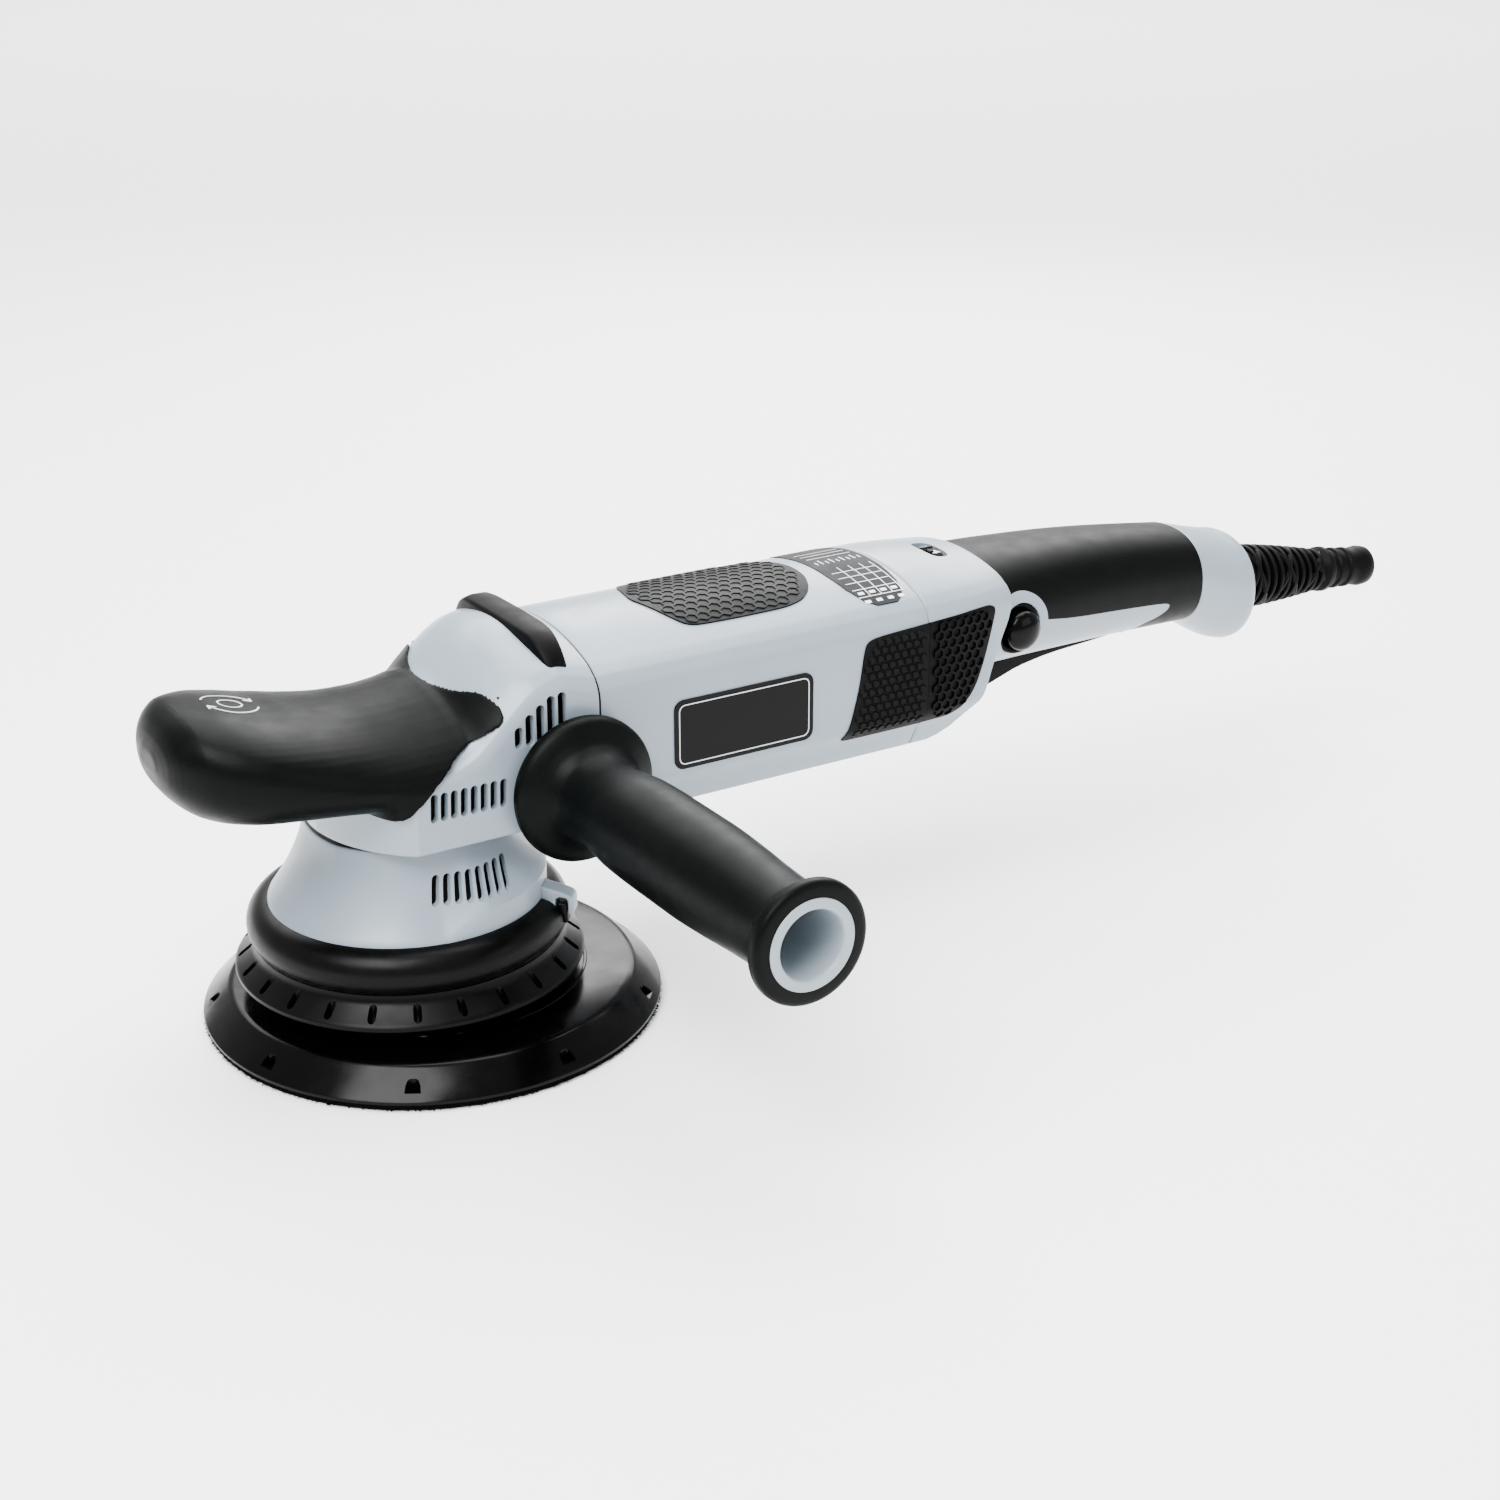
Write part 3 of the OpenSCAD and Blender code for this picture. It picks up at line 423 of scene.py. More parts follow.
GREY, BLACK, RUBBER = PAINT["grey_shell"], PAINT["black_plastic"], PAINT["black_rubber"]


def paint_frame():
    """Every CAD node takes the finish of its slot in the record."""
    for part in frame["record"]["subparts"]:
        obj = frame["nodes"].get(part["node"])
        if obj:
            obj.data.materials.clear()
            obj.data.materials.append(PAINT[part["material_slot"]])
            smooth(obj, 30)


# ---- Body sections ----


def body_half(w, top, bottom, t=0, arch=ARCH_R):
    """Half outline of the body from its underside to the top, as (y, z), drawn in by t."""
    s = min(12, 0.7 * w)
    cy = w - s
    z0 = top - arch
    cz = z0 + math.sqrt((arch - s) ** 2 - cy**2)
    end = math.atan2(cz - z0, cy)
    low = [
        (0.4 * w, 0), (0.68 * w, 0.05), (0.735 * w, 0.7), (0.765 * w, 2.2), (0.8 * w, 4.6),
        (0.86 * w, 9), (0.925 * w, 12), (0.97 * w, 14), (0.994 * w, 16), (w, 18.5)
    ]
    points = [(y - t * min(1, y / (0.6 * w)), bottom + z + t * max(0, 1 - z / 9)) for y, z in low]
    side_top = cz - 3
    points += [(w - t, z) for z in spread(bottom + 22, side_top, 8)]
    # The side turns over in a soft curve up to a crease, then follows the arch
    crease = 0.74
    for k in (0.12, 0.3, 0.5, 0.68, crease):
        a = k * end * 0.86
        points.append((cy + (s - t) * math.cos(a) + 0.35 * math.sin(math.pi * k), cz + (s - t) * math.sin(a)))
    for k in (0.8, 0.88, 1):
        a = end * (0.64 + 0.36 * (k - crease) / (1 - crease))
        points.append((cy + (s - t - 0.5 * (1 - k) * 4) * math.cos(a), cz + (s - t) * math.sin(a)))
    for a in spread(end, math.pi / 2, 9)[1:]:
        points.append(((arch - t) * math.cos(a), z0 + (arch - t) * math.sin(a)))
    return points


def body_ring(x, w, top, bottom, t=0):
    ring = [(0, bottom + t)] + mirrored(body_half(w, top, bottom, t))
    return [(x, y, z) for y, z in ring]


# Round edge beside a seam, as (way in from the seam, depth under the surface)
LIP = [(0, 2.6), (0, 0.75), (0.08, 0.42), (0.3, 0.14), (0.75, 0)]


def motor_housing():
    def ring(x, t):
        return body_ring(x, BODY_W, BODY_TOP, BODY_BOTTOM, t)

    rings = [ring(BODY_X0 + a, t) for a, t in LIP]
    rings += [ring(x, 0) for x in spread(BODY_X0 + 0.75, BODY_X1 - 0.75, 24)[1:]]
    rings += [ring(BODY_X1 - a, t) for a, t in reversed(LIP[:-1])]
    obj = loft("motor_shell", rings, GREY, sharp=24)
    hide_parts("motor_housing")


REAR_W = [(179.5, 38), (190, 37.8), (200, 37), (210, 35.6), (220, 33.4), (232, 30.6)]
REAR_TOP = [(179.5, 124), (190, 123.9), (200, 123.4), (210, 122.5), (220, 121.6), (232, 120.8)]
# Rear edge of the shell as x at height z
REAR_EDGE = [
    (60.8, 183), (62.6, 189), (66, 196), (71.4, 202), (79, 206.6), (89, 210.4),
    (98, 214.6), (105, 218), (110.5, 219), (116, 218.4), (124, 218)
]


def rear_ring(x, t=0):
    return body_ring(x, curve(REAR_W, x), curve(REAR_TOP, x), BODY_BOTTOM, t)


def rear_point(i, part, t=0, shift=0):
    """Point i of the rear housing's ring, part of the way from its seam to its rear edge."""
    x = BODY_X1
    for _ in range(5):
        p = rear_ring(x, t)[i]
        x = BODY_X1 + (curve(REAR_EDGE, p[2]) - shift - BODY_X1) * part
    return rear_ring(x, t)[i]


def rear_housing():
    n = len(rear_ring(BODY_X1))
    rings = [rear_ring(BODY_X1 + a, t) for a, t in LIP]
    rings += [[rear_point(i, part) for i in range(n)] for part in spread(0.04, 0.96, 18)]
    for shift, t in ((0.7, 0), (0.25, 0.12), (0.05, 0.4), (0, 0.8), (0.3, 2.6), (5, 4.5)):
        rings.append([rear_point(i, 1, t, shift) for i in range(n)])
    obj = loft("rear_shell", rings, GREY, sharp=24)
    window = prism("w", rounded([(200.6, -11.5), (208.4, -11.5), (208.4, 4.5), (200.6, 4.5)], 3), "z", 116, 140)
    carve(obj, window, sharp=24)
    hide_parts("rear_housing")


# ---- Head cover ----

COVER_TOP = [
    (-30.5, 98), (-27, 104), (-22, 107.6), (-10, 108.4), (0, 108.8), (6, 110.8), (10, 113), (15, 117.6),
    (20, 122), (25, 125.2), (31, 127.2), (38, 127.6), (45, 125.8), (52, 124)
]
COVER_W = 38.3
# The head is rounder across its front than over the motor
COVER_ARCH = [(-30, 52), (20, 55), (28, 62), (38, 76), (44, 80), (52, 80)]


def cover_half_width(x):
    if x > NOSE_C:
        return COVER_W
    return min(COVER_W, math.sqrt(max(0.3, NOSE_R**2 - (x - NOSE_C) ** 2)))


def cover_section(x, t=0):
    """Ring across the head, from its lower edge over the top and back."""
    w = cover_half_width(x) - t
    top = curve(COVER_TOP, x) - 1.2 * t
    arch = curve(COVER_ARCH, x)
    half = body_half(w, top, BODY_BOTTOM, 0, arch)[10:]
    low = SEAM_Z + 0.25
    if x < 42.8:
        start = [(w - 2.4, low), (w - 0.8, low), (w - 0.3, low + 0.1), (w, low + 0.5), (w, low + 1.6)]
        start += [(w, z) for z in spread(low + 3, half[0][1] - 1, 5)]
    else:
        start = body_half(w, top, BODY_BOTTOM + t, 0, arch)[:10]
    half = start + half
    return [(x, y, z) for y, z in mirrored(half)]


def head_stations():
    nose = [NOSE_C - NOSE_R * math.cos(a) for a in spread(0.06, 0.9, 26)]
    rest = spread(-9, 42.2, 40)
    return nose + [x for x in rest if x > nose[-1] + 0.6]


def slot_cutters(name, places, low, tops, width, lean=0):
    """Round-ended slots through both sides of the head. places are the slots' middles in X."""
    parts = []
    for x, top in zip(places, tops):
        outline = [(x + a + lean * b, (low + top) / 2 + b) for a, b in stadium(top - low, width)]
        parts.append(prism(name, outline, "y", -60, 60))
    return join(name, parts)


SHOULDER_SLOTS = [(23.2, 104.8), (27, 108.2), (30.8, 110.6), (34.6, 112.8), (38.4, 113.3)]


def head_cover():
    stations = head_stations()
    rings = [cover_section(x) for x in stations]
    rings += [cover_section(x, t) for x, t in ((42.79, 0), (42.81, 0), (45, 0), (48, 0), (50.4, 0), (51.1, 0))]
    rings += [cover_section(x, t) for x, t in ((51.35, 0.1), (51.5, 0.3), (51.55, 0.6), (51.55, 2.6))]
    obj = loft("head_shell", rings, GREY, sharp=24)
    inner = [cover_section(x, 2.6) for x in [-26.6, -24, -20] + [x for x in stations if x > -16]]
    inner += [cover_section(x, 2.6) for x in (44, 48, 53)]
    for ring in inner:
        if ring[0][0] < 42.8:
            ring[:5] = [(x, y, SEAM_Z - 4) for x, y, _ in ring[:5]]
            ring[-5:] = [(x, y, SEAM_Z - 4) for x, y, _ in ring[-5:]]
    carve(obj, loft("hollow", inner, None), sharp=24)
    carve(obj, slot_cutters("a", [x for x, _ in SHOULDER_SLOTS], 97.8, [t for _, t in SHOULDER_SLOTS], 3), sharp=24)
    carve(obj, slot_cutters("b", [-6.2 + i * 3.35 for i in range(8)], 79.8, [89.2] * 8, 2.5, 0.04), sharp=24)
    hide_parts("head_cover")
    # Black sheets behind the slots give painted shade for the dark inside of the vents.
    screen("shade_sheet_b", spread(-12, 21, 12), lambda x, z: cover_half_width(x) - 3.4, 78, 91)
    screen("shade_sheet_a", spread(20, 42, 8), lambda x, z: cover_half_width(x) - 3.4 - max(0, z - 102) * 0.35, 97, 113)


def screen(name, xs, y_at, z0, z1, steps=7):
    """Dark sheet just behind a row of slots, on both sides: painted shade that stands in for the dark inside behind
    the vents.
    """
    parts = []
    for side in (-1, 1):
        rings = []
        for x in xs:
            outer = [(x, side * y_at(x, z), z) for z in spread(z0, z1, steps)]
            inner = [(x, side * (y_at(x, z) - 0.8), z) for z in spread(z1, z0, steps)]
            rings.append(outer + inner)
        parts.append(loft(name, rings, None))
    join(name, parts, BLACK)


def top_ridge():
    """Square-edged bar over the head's highest part, which follows its arch down both sides."""
    height = [(0, 129.4), (14, 129.2), (21, 128.6), (26, 126.9), (30, 123.9), (33, 120.4)]
    rings = []
    for y in spread(-33, 33, 45):
        z = curve(height, abs(y))
        base = z - 9
        back = 44.4 - 0.012 * max(0, abs(y) - 16) ** 1.6
        front = 34.4 + 0.02 * max(0, abs(y) - 14) ** 1.6
        shape = [
            (front - 0.4, base), (front, z - 2), (front + 0.35, z - 1.1), (front + 1.2, z - 0.6), (39, z),
            (back - 1.2, z - 0.1), (back - 0.35, z - 0.5), (back, z - 1.3), (back, base)
        ]
        rings.append([(x, y, h) for x, h in shape])
    obj = loft("ridge_bar", rings, BLACK, sharp=40)
    bevelled(obj, 0.5, 3, 50)
    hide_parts("top_ridge")


# ---- Palm grip ----

PALM_TOP = [
    (-80.5, 107), (-79, 111.5), (-75.5, 116), (-70, 118.4), (-63, 118), (-54, 116), (-42, 113.4),
    (-30, 111.6), (-18, 110.8), (-8, 111), (0, 111.6), (6, 112.8), (20, 124)
]
PALM_LOW = [
    (-80.5, 101), (-79, 95.6), (-75.5, 90.6), (-70, 86.4), (-63, 84), (-54, 82.6), (-42, 81.8),
    (-30, 81), (-18, 80), (0, 80)
]
PALM_W = [
    (-80.5, 7), (-79, 14.5), (-75.5, 21.5), (-70, 28), (-63, 32.6), (-54, 35.8), (-42, 37.4),
    (-30, 38.2), (-18, 38.9), (0, 39.1)
]
# The grip's edge on the side of the head, as (x, z)
PALM_EDGE = [
    (-100, 79.4), (-19, 81.2), (-14.6, 83), (-11, 85.8), (-4, 92.3), (3, 98.2), (12, 102.8), (18.4, 106),
    (20, 109.4), (18.4, 114), (17.6, 134), (-100, 134)
]
# The grip's edge on top of the head, as (x, y) on one side
PALM_PLAN = [(20.4, 44), (20.4, 36), (18.9, 31.5), (16.8, 25.5), (12.4, 18), (9.6, 10), (8.2, 4), (8, 0)]


def ease(x, a, b):
    t = max(0, min(1, (x - a) / (b - a)))
    return t * t * (3 - 2 * t)


def reach(ring, cz, angle):
    """Distance from (0, cz) to a ring of (y, z) in one direction."""
    c, s = math.cos(angle), math.sin(angle)
    best = 0
    for (y0, z0), (y1, z1) in zip(ring, ring[1:] + ring[:1]):
        a0, a1 = y0 * s - (z0 - cz) * c, y1 * s - (z1 - cz) * c
        if (a0 > 0) != (a1 > 0):
            t = a0 / (a0 - a1)
            y, z = y0 + (y1 - y0) * t, z0 + (z1 - z0) * t - cz
            best = max(best, y * c + z * s)
    return best


def nose_reach(a, b, angle, power=2.5):
    return ((abs(math.cos(angle)) / a) ** power + (abs(math.sin(angle)) / b) ** power) ** (-1 / power)


def palm_ring(x, n=96):
    """The grip's section turns from an oval at the nose into the head's own outline."""
    top, low, wide = curve(PALM_TOP, x), curve(PALM_LOW, x), curve(PALM_W, x)
    cz = (top + low) / 2
    upper = ease(x, -56, -6)
    lower = ease(x, -24, -13)
    skin = None
    if x > -56:
        skin_top = max(curve(COVER_TOP, x) + 1, min(top, 112.8))
        width = max(cover_half_width(x) + 0.8, wide) if x < 0 else cover_half_width(x) + 0.8
        half = body_half(width, skin_top, 52.5, 0, curve(COVER_ARCH, x) + 1)
        skin = [(0, 52.5)] + mirrored(half)
    ring = []
    for i in range(n):
        angle = 2 * math.pi * i / n
        r = nose_reach(wide, (top - low) / 2, angle)
        if skin:
            share = upper + (lower - upper) * ease(-math.sin(angle), -0.15, 0.45)
            r += (reach(skin, cz, angle) - r) * share
        ring.append((x, r * math.cos(angle), cz + r * math.sin(angle)))
    return ring


def palm_grip():
    xs = [-80.5, -80.25, -79.7, -79, -78, -77] + spread(-75.5, 22, 66)
    obj = loft("palm_rubber", [palm_ring(x) for x in xs], RUBBER)
    carve(obj, prism("edge", rounded(PALM_EDGE, 2), "y", -60, 60), "INTERSECT")
    far_side = [(x, -y) for x, y in reversed(PALM_PLAN[:-1])]
    plan = [(60, 60)] + PALM_PLAN + far_side + [(60, -60)]
    carve(obj, prism("plan", rounded(plan, 2), "z", 104, 150))
    soften(obj, 0.55, 4)
    keep_largest(obj)
    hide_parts("palm_grip")


# ---- Skirt ----


def seam_r(a):
    s, c = abs(math.sin(a)), max(0, math.cos(a))
    square = (s / (BODY_W + 0.5)) ** 8 + (c / SKIRT_REAR) ** 8
    round_part = NOSE_C * math.cos(a) + math.sqrt(NOSE_R**2 - (NOSE_C * math.sin(a)) ** 2)
    return min(1 / max(square, 1e-12) ** (1 / 8), round_part)


def skirt_r(a, z):
    c = math.cos(a)
    low = 46 + 4 * max(-1, min(1, c * 6))
    t = max(0, min(1, (SEAM_Z - z) / (SEAM_Z - low)))
    return seam_r(a) + (45 - seam_r(a)) * (0.45 * t + 0.55 * t * t)


def skirt_ring(z, inset, n=240):
    out = []
    for i in range(n):
        a = 2 * math.pi * i / n
        r = skirt_r(a, z) - inset
        out.append((r * math.cos(a), r * math.sin(a), z))
    return out


def skirt():
    rings = [skirt_ring(z, 0) for z in spread(38, 67.2, 26)]
    rings += [skirt_ring(z, t) for z, t in ((67.9, 0), (68.25, 0.12), (68.42, 0.35), (68.46, 0.7), (68.46, 2.5))]
    rings += [skirt_ring(z, 2.5) for z in spread(66, 38, 9)]
    obj = loft("skirt_shell", rings, GREY, sharp=24, around=True)
    slots = slot_cutters("c", [-6.25 + i * 3.45 for i in range(8)], 51.8, [60.6] * 8, 2.4, 0.26)
    carve(obj, slots, sharp=24)
    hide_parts("skirt")
    outline = [
        (43.4, 40), (43.4, 47), (46, 45.6), (49, 44.9), (51.5, 44.2), (54.2, 43.2), (55.3, 42), (55.3, 36.2),
        (53.5, 36.2), (53.5, 41.2), (52.6, 42.2), (50.6, 42.4), (49.4, 41.8), (49.2, 40.6), (49.2, 34.6),
        (46.8, 34.6), (46, 38)
    ]
    hook = turned(prism("hook", rounded(outline, 1), "y", -3.3, 3.3), HOOK_A)
    bevelled(join("skirt_hook", [hook], GREY), 0.45, 3, 50)
    # Black sheet behind the skirt slots gives painted shade for the dark inside of the vents.
    screen("shade_sheet_c", spread(-11, 23, 12), behind_skirt, 50.5, 64, 6)


def behind_skirt(x, z):
    return math.sqrt(max(1, (skirt_r(math.atan2(45, x), z) - 3.6) ** 2 - x * x))


def seam_seals():
    """Dark seals that show in the joints between skirt, head and motor housing."""
    section = [(67.8, 0.8), (68.4, 0.5), (69.8, 0.5), (70.3, 0.8), (70.3, 2.2), (67.8, 2.2)]
    rings = [skirt_ring(z, t) for z, t in section]
    loft("skirt_seal", rings, RUBBER, sharp=24, around=True)
    rings = [cover_section(x, t) for x, t in ((51, 0.45), (52.6, 0.45), (52.6, 1.9), (51, 1.9))]
    loft("head_seal", rings, RUBBER, sharp=24, around=True)


def bumper_ring():
    obj = revolve("roll_rubber", circle(ROLL_R, 34, ROLL_TUBE), PAINT["gloss_rubber"], n=180)
    carve(obj, turned(block("pocket", (42.3, -3.6, 34.4), (54, 3.6, 46.4)), HOOK_A))
    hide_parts("bumper_ring")
    tongue = turned(block("tongue", (49.5, -2.6, 33), (53.1, 2.6, 40)), HOOK_A)
    bevelled(join("roll_tongue", [tongue], PAINT["gloss_rubber"]), 0.7, 3)


def vent_ring():
    profile = [
        (38, 18.6), (55.6, 18.6), (56.2, 18.8), (56.5, 19.3), (56.5, 20.4), (56.2, 20.9), (55.6, 21.4),
        (51.2, 25), (50.4, 26), (50, 27), (49.8, 28.2), (38, 29.5)
    ]
    obj = revolve("vent_ring_moulding", profile, PAINT["gloss_rubber"], n=192, sharp=28)
    outline = [(53 + b * 0.9, a * 0.95) for a, b in stadium(5.6, 2.7, 8)]
    step = 360 / RING_SLOTS
    slots = [turned(prism("slot", outline, "z", 17, 30), (i + 0.5) * step) for i in range(RING_SLOTS)]
    carve(obj, join("slots", slots), sharp=28)
    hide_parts("vent_ring")


# ---- Pad ----


def backing_plate():
    profile = [
        (7.2, 2), (PLATE_R - 0.5, 2), (PLATE_R - 0.1, 2.15), (PLATE_R, 2.6), (PLATE_R, 3.2),
        (PLATE_R - 0.3, 3.6), (PLATE_R - 4, 6.9), (PLATE_R - 8, 10.5), (PLATE_R - 8.6, 10.95),
        (PLATE_R - 9.2, 11.3), (PLATE_R - 10.6, 11.55), (55, 12), (50.6, 12.2), (50.3, 12.5),
        (49.7, 12.5), (49.4, 12.3), (40, 13), (24, 14.6), (14.5, 18), (4.1, 18), (4.1, 8), (7.2, 8)
    ]
    place = Matrix.Translation((ECC, 0, 0))
    obj = revolve("pad_plate", profile, PAINT["gloss_black"], "pad", place, n=216, sharp=26)
    outline = rounded([(69.4, -2.5), (80, -2.5), (80, 2.5), (69.4, 2.5)], 2)
    notches = [
        turned(prism("notch", outline, "z", 5.2, 14), -120.5 + i * 360 / NOTCHES, ECC) for i in range(NOTCHES)
    ]
    carve(obj, join("notches", notches), sharp=26)
    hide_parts("backing_plate")


def wobble(i, k):
    """Repeatable value from 0 to 1 for fibre i."""
    return math.sin(i * 12.9898 + k * 78.233) * 43758.5453 % 1


def hook_face():
    profile = [(7.2, 0.05), (73.8, 0.05), (74.3, 0.3), (74.6, 1), (74.5, 1.98), (7.2, 1.98)]
    place = Matrix.Translation((ECC, 0, 0))
    obj = revolve("hook_pad", profile, PAINT["hook_fabric"], "pad", place, n=160)
    points, faces = [], []
    count = 1500
    for i in range(count):
        a = 2 * math.pi * (i + wobble(i, 1)) / count
        z = 0.2 + 1.7 * wobble(i, 2)
        tip_r = 74.9 + 0.9 * wobble(i, 3)
        side = 0.18 + 0.12 * wobble(i, 4)
        lean = (wobble(i, 5) - 0.5) * 0.014
        tip = max(0.05, z + (wobble(i, 6) - 0.6) * 0.9)
        start = len(points)
        for r, b, h in ((74.2, -side, z), (74.2, side, z), (74.2, 0, z + 0.35), (tip_r, 0, tip)):
            turn = a + (lean if r == tip_r else 0)
            c, s = math.cos(turn), math.sin(turn)
            points.append((ECC + r * c - b * s, r * s + b * c, h))
        faces += [tuple(start + j for j in f) for f in ((0, 1, 3), (1, 2, 3), (2, 0, 3), (0, 2, 1))]
    mesh_piece("hook_fibres", points, faces, PAINT["hook_fabric"], "pad")
    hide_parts("hook_face")


# ---- Skins on the housings ----


def surface_y(x, z):
    """Half-width of the motor or rear housing at x and height z."""
    if x <= BODY_X1:
        half = body_half(BODY_W, BODY_TOP, BODY_BOTTOM)
    else:
        half = body_half(curve(REAR_W, x), curve(REAR_TOP, x), BODY_BOTTOM)
    side = [p for p in half if p[0] > 0.7 * BODY_W]
    for (y0, z0), (y1, z1) in zip(side, side[1:]):
        if z0 <= z <= z1 and z1 > z0:
            return y0 + (y1 - y0) * (z - z0) / (z1 - z0)
    return side[0][0]


def surface_z(y, top=BODY_TOP):
    return top - ARCH_R + math.sqrt(ARCH_R**2 - y * y)


def inside(outline, x, y):
    hit = False
    for (x0, y0), (x1, y1) in zip(outline, outline[1:] + outline[:1]):
        if (y0 > y) != (y1 > y) and x < x0 + (y - y0) * (x1 - x0) / (y1 - y0):
            hit = not hit
    return hit


def clearance(outline, x, y):
    """Distance from a point to the outline."""
    best = 1e9
    for (x0, y0), (x1, y1) in zip(outline, outline[1:] + outline[:1]):
        dx, dy = x1 - x0, y1 - y0
        t = max(0, min(1, ((x - x0) * dx + (y - y0) * dy) / max(dx * dx + dy * dy, 1e-9)))
        best = min(best, math.hypot(x - x0 - t * dx, y - y0 - t * dy))
    return best


def hexagons(outline, pitch, margin):
    """Middles of the hexagons of a honeycomb that fit inside the outline."""
    xs, ys = zip(*outline)
    out = []
    row = 0
    y = min(ys)
    while y < max(ys):
        x = min(xs) + (row % 2) * pitch / 2
        while x < max(xs):
            if inside(outline, x, y) and clearance(outline, x, y) > margin:
                out.append((x, y))
            x += pitch
        y += pitch * math.sqrt(3) / 2
        row += 1
    return out


def hexagon(x, y, r):
    return [(x + r * math.sin(math.pi * k / 3), y + r * math.cos(math.pi * k / 3)) for k in range(6)]


def plate_on(outline, lift, height, cell=1.6):
    """Points and faces of a slab that follows a surface under a flat outline. lift maps (x, y, h) to a point."""
    bm = bmesh.new()
    bm.faces.new([bm.verts.new((x, y, 0)) for x, y in outline])
    for axis, values in zip((Vector((1, 0, 0)), Vector((0, 1, 0))), zip(*outline)):
        low, high = min(values), max(values)
        for at in spread(low, high, max(1, int((high - low) / cell)) + 1)[1:-1]:
            geom = bm.verts[:] + bm.edges[:] + bm.faces[:]
            bmesh.ops.bisect_plane(bm, geom=geom, plane_co=axis * at, plane_no=axis, dist=1e-5)
    bm.verts.index_update()
    n = len(bm.verts)
    points = [lift(v.co.x, v.co.y, h) for h in (height, -0.3) for v in bm.verts]
    faces = []
    for f in bm.faces:
        ids = [v.index for v in f.verts]
        faces += [tuple(ids), tuple(n + i for i in reversed(ids))]
    for e in bm.edges:
        if len(e.link_faces) == 1:
            a, b = e.verts[0].index, e.verts[1].index
            faces.append((a, b, n + b, n + a))
    bm.free()
    return points, faces


def stepped_hexagon(lift, x, y, levels):
    """Points and faces of a hexagon through (radius, height) levels. The last one is closed."""
    points = [lift(a, b, h) for r, h in levels for a, b in hexagon(x, y, r)]
    return points, ring_faces(len(levels), 6) + [tuple(range(len(points) - 6, len(points)))]


def honeycomb_cell(lift, x, y, pitch, wall, h_low, h_high):
    """Walls shared with the neighbouring cells round a sunken middle."""
    outer = pitch / math.sqrt(3)
    inner = outer - wall
    return stepped_hexagon(lift, x, y, ((outer, h_high), (inner, h_high), (inner - 0.12, h_low)))


PANEL = [
    (145.2, 73.6), (146.6, 72.4), (189, 72.4), (193.4, 73.6), (201.2, 82.4), (205.4, 93), (209.4, 107.4),
    (209.3, 109.6), (206.5, 110.9), (180, 109.8), (157, 108.7), (153.4, 107.2), (152.4, 103), (150.8, 92), (147.6, 80)
]


def clip(outline, limit, keep_below):
    """Part of an outline on one side of x = limit."""
    out = []
    for p, q in zip(outline, outline[1:] + outline[:1]):
        in_p = (p[0] <= limit) == keep_below
        in_q = (q[0] <= limit) == keep_below
        if in_p:
            out.append(p)
        if in_p != in_q:
            t = (limit - p[0]) / (q[0] - p[0])
            out.append((limit, p[1] + (q[1] - p[1]) * t))
    return out


def side_lift(side):
    return lambda x, z, h: (x, side * (surface_y(x, z) + h), z)


def side_panels():
    outline = rounded(PANEL, 2)
    for side, word in ((-1, "near"), (1, "far")):
        lift = side_lift(side)
        front = clip(outline, BODY_X1 - 0.15, True)
        bumps = [stepped_hexagon(lift, x, z, ((1.75, 0.5), (1.2, 1.15))) for x, z in hexagons(front, 3.3, 1.9)]
        obj = mesh_piece(f"panel_{word}", *gathered([plate_on(front, lift, 0.55)] + bumps), BLACK, sharp=20)
        rear = clip(outline, BODY_X1 + 0.15, False)
        cells = [honeycomb_cell(lift, x, z, 3.7, 0.42, 0.36, 1.15) for x, z in hexagons(rear, 3.7, 2.1)]
        grille = mesh_piece(f"grille_{word}", *gathered([plate_on(rear, lift, 0.35)] + cells), BLACK, sharp=20)
        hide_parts("side_pads")
        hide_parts("intake_grilles")


PAD_OUTLINE = [
    (84.5, 0), (86.5, -8), (89.5, -17.5), (92.2, -22.6), (96, -24.2), (112, -24.6), (130, -24.4), (138, -22.4),
    (144.4, -17), (148, -9), (149, 0)
]


def top_lift(x, y, h):
    scale = (ARCH_R + h) / ARCH_R
    return (x, y * scale, surface_z(y) + h)


def top_pad():
    outline = rounded(PAD_OUTLINE + [(x, -y) for x, y in reversed(PAD_OUTLINE[1:-1])], 2)
    cells = [honeycomb_cell(top_lift, x, y, 4.4, 0.55, 0.56, 0.85) for x, y in hexagons(outline, 4.4, 2.6)]
    obj = mesh_piece("top_pad_texture", *gathered([plate_on(outline, top_lift, 0.55)] + cells), RUBBER, sharp=20)
    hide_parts("top_pad")


def strip_on(lift, x0, x1, y0, y1, height):
    """Thin printed bar that follows a surface."""
    return plate_on([(x0, y0), (x1, y0), (x1, y1), (x0, y1)], lift, height, 2.5)


def rating_label():
    outline = rounded([(155, -32), (177.8, -32), (177.8, 32), (155, 32)], 2)
    obj = mesh_piece("label_plate", *plate_on(outline, top_lift, 0.3), PAINT["label"])
    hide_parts("rating_label")
    bars = [(157.6, 175.6, y, y + 0.26) for y in (-27.5, -23.4, -19.3, -15.2, -11.1)]
    bars += [(x, x + 0.26, -27.5, -7) for x in (162.2, 166.8, 171.4, 175.6)]
    bars += [(x, x + 2.2, y, y + 1.3) for x in (158.6, 163.2, 167.8, 172.2) for y in (-30.4, -26)]
    bars += [(158 + 2.2 * k, 158.4 + 2.2 * k, -2, 0.4 + 1.6 * (k % 2)) for k in range(9)]
    bars += [(158, 176, y, y + 0.26) for y in (5, 9, 13)]
    mesh_piece("label_print", *gathered([strip_on(top_lift, *bar, 0.36) for bar in bars]), PRINT)


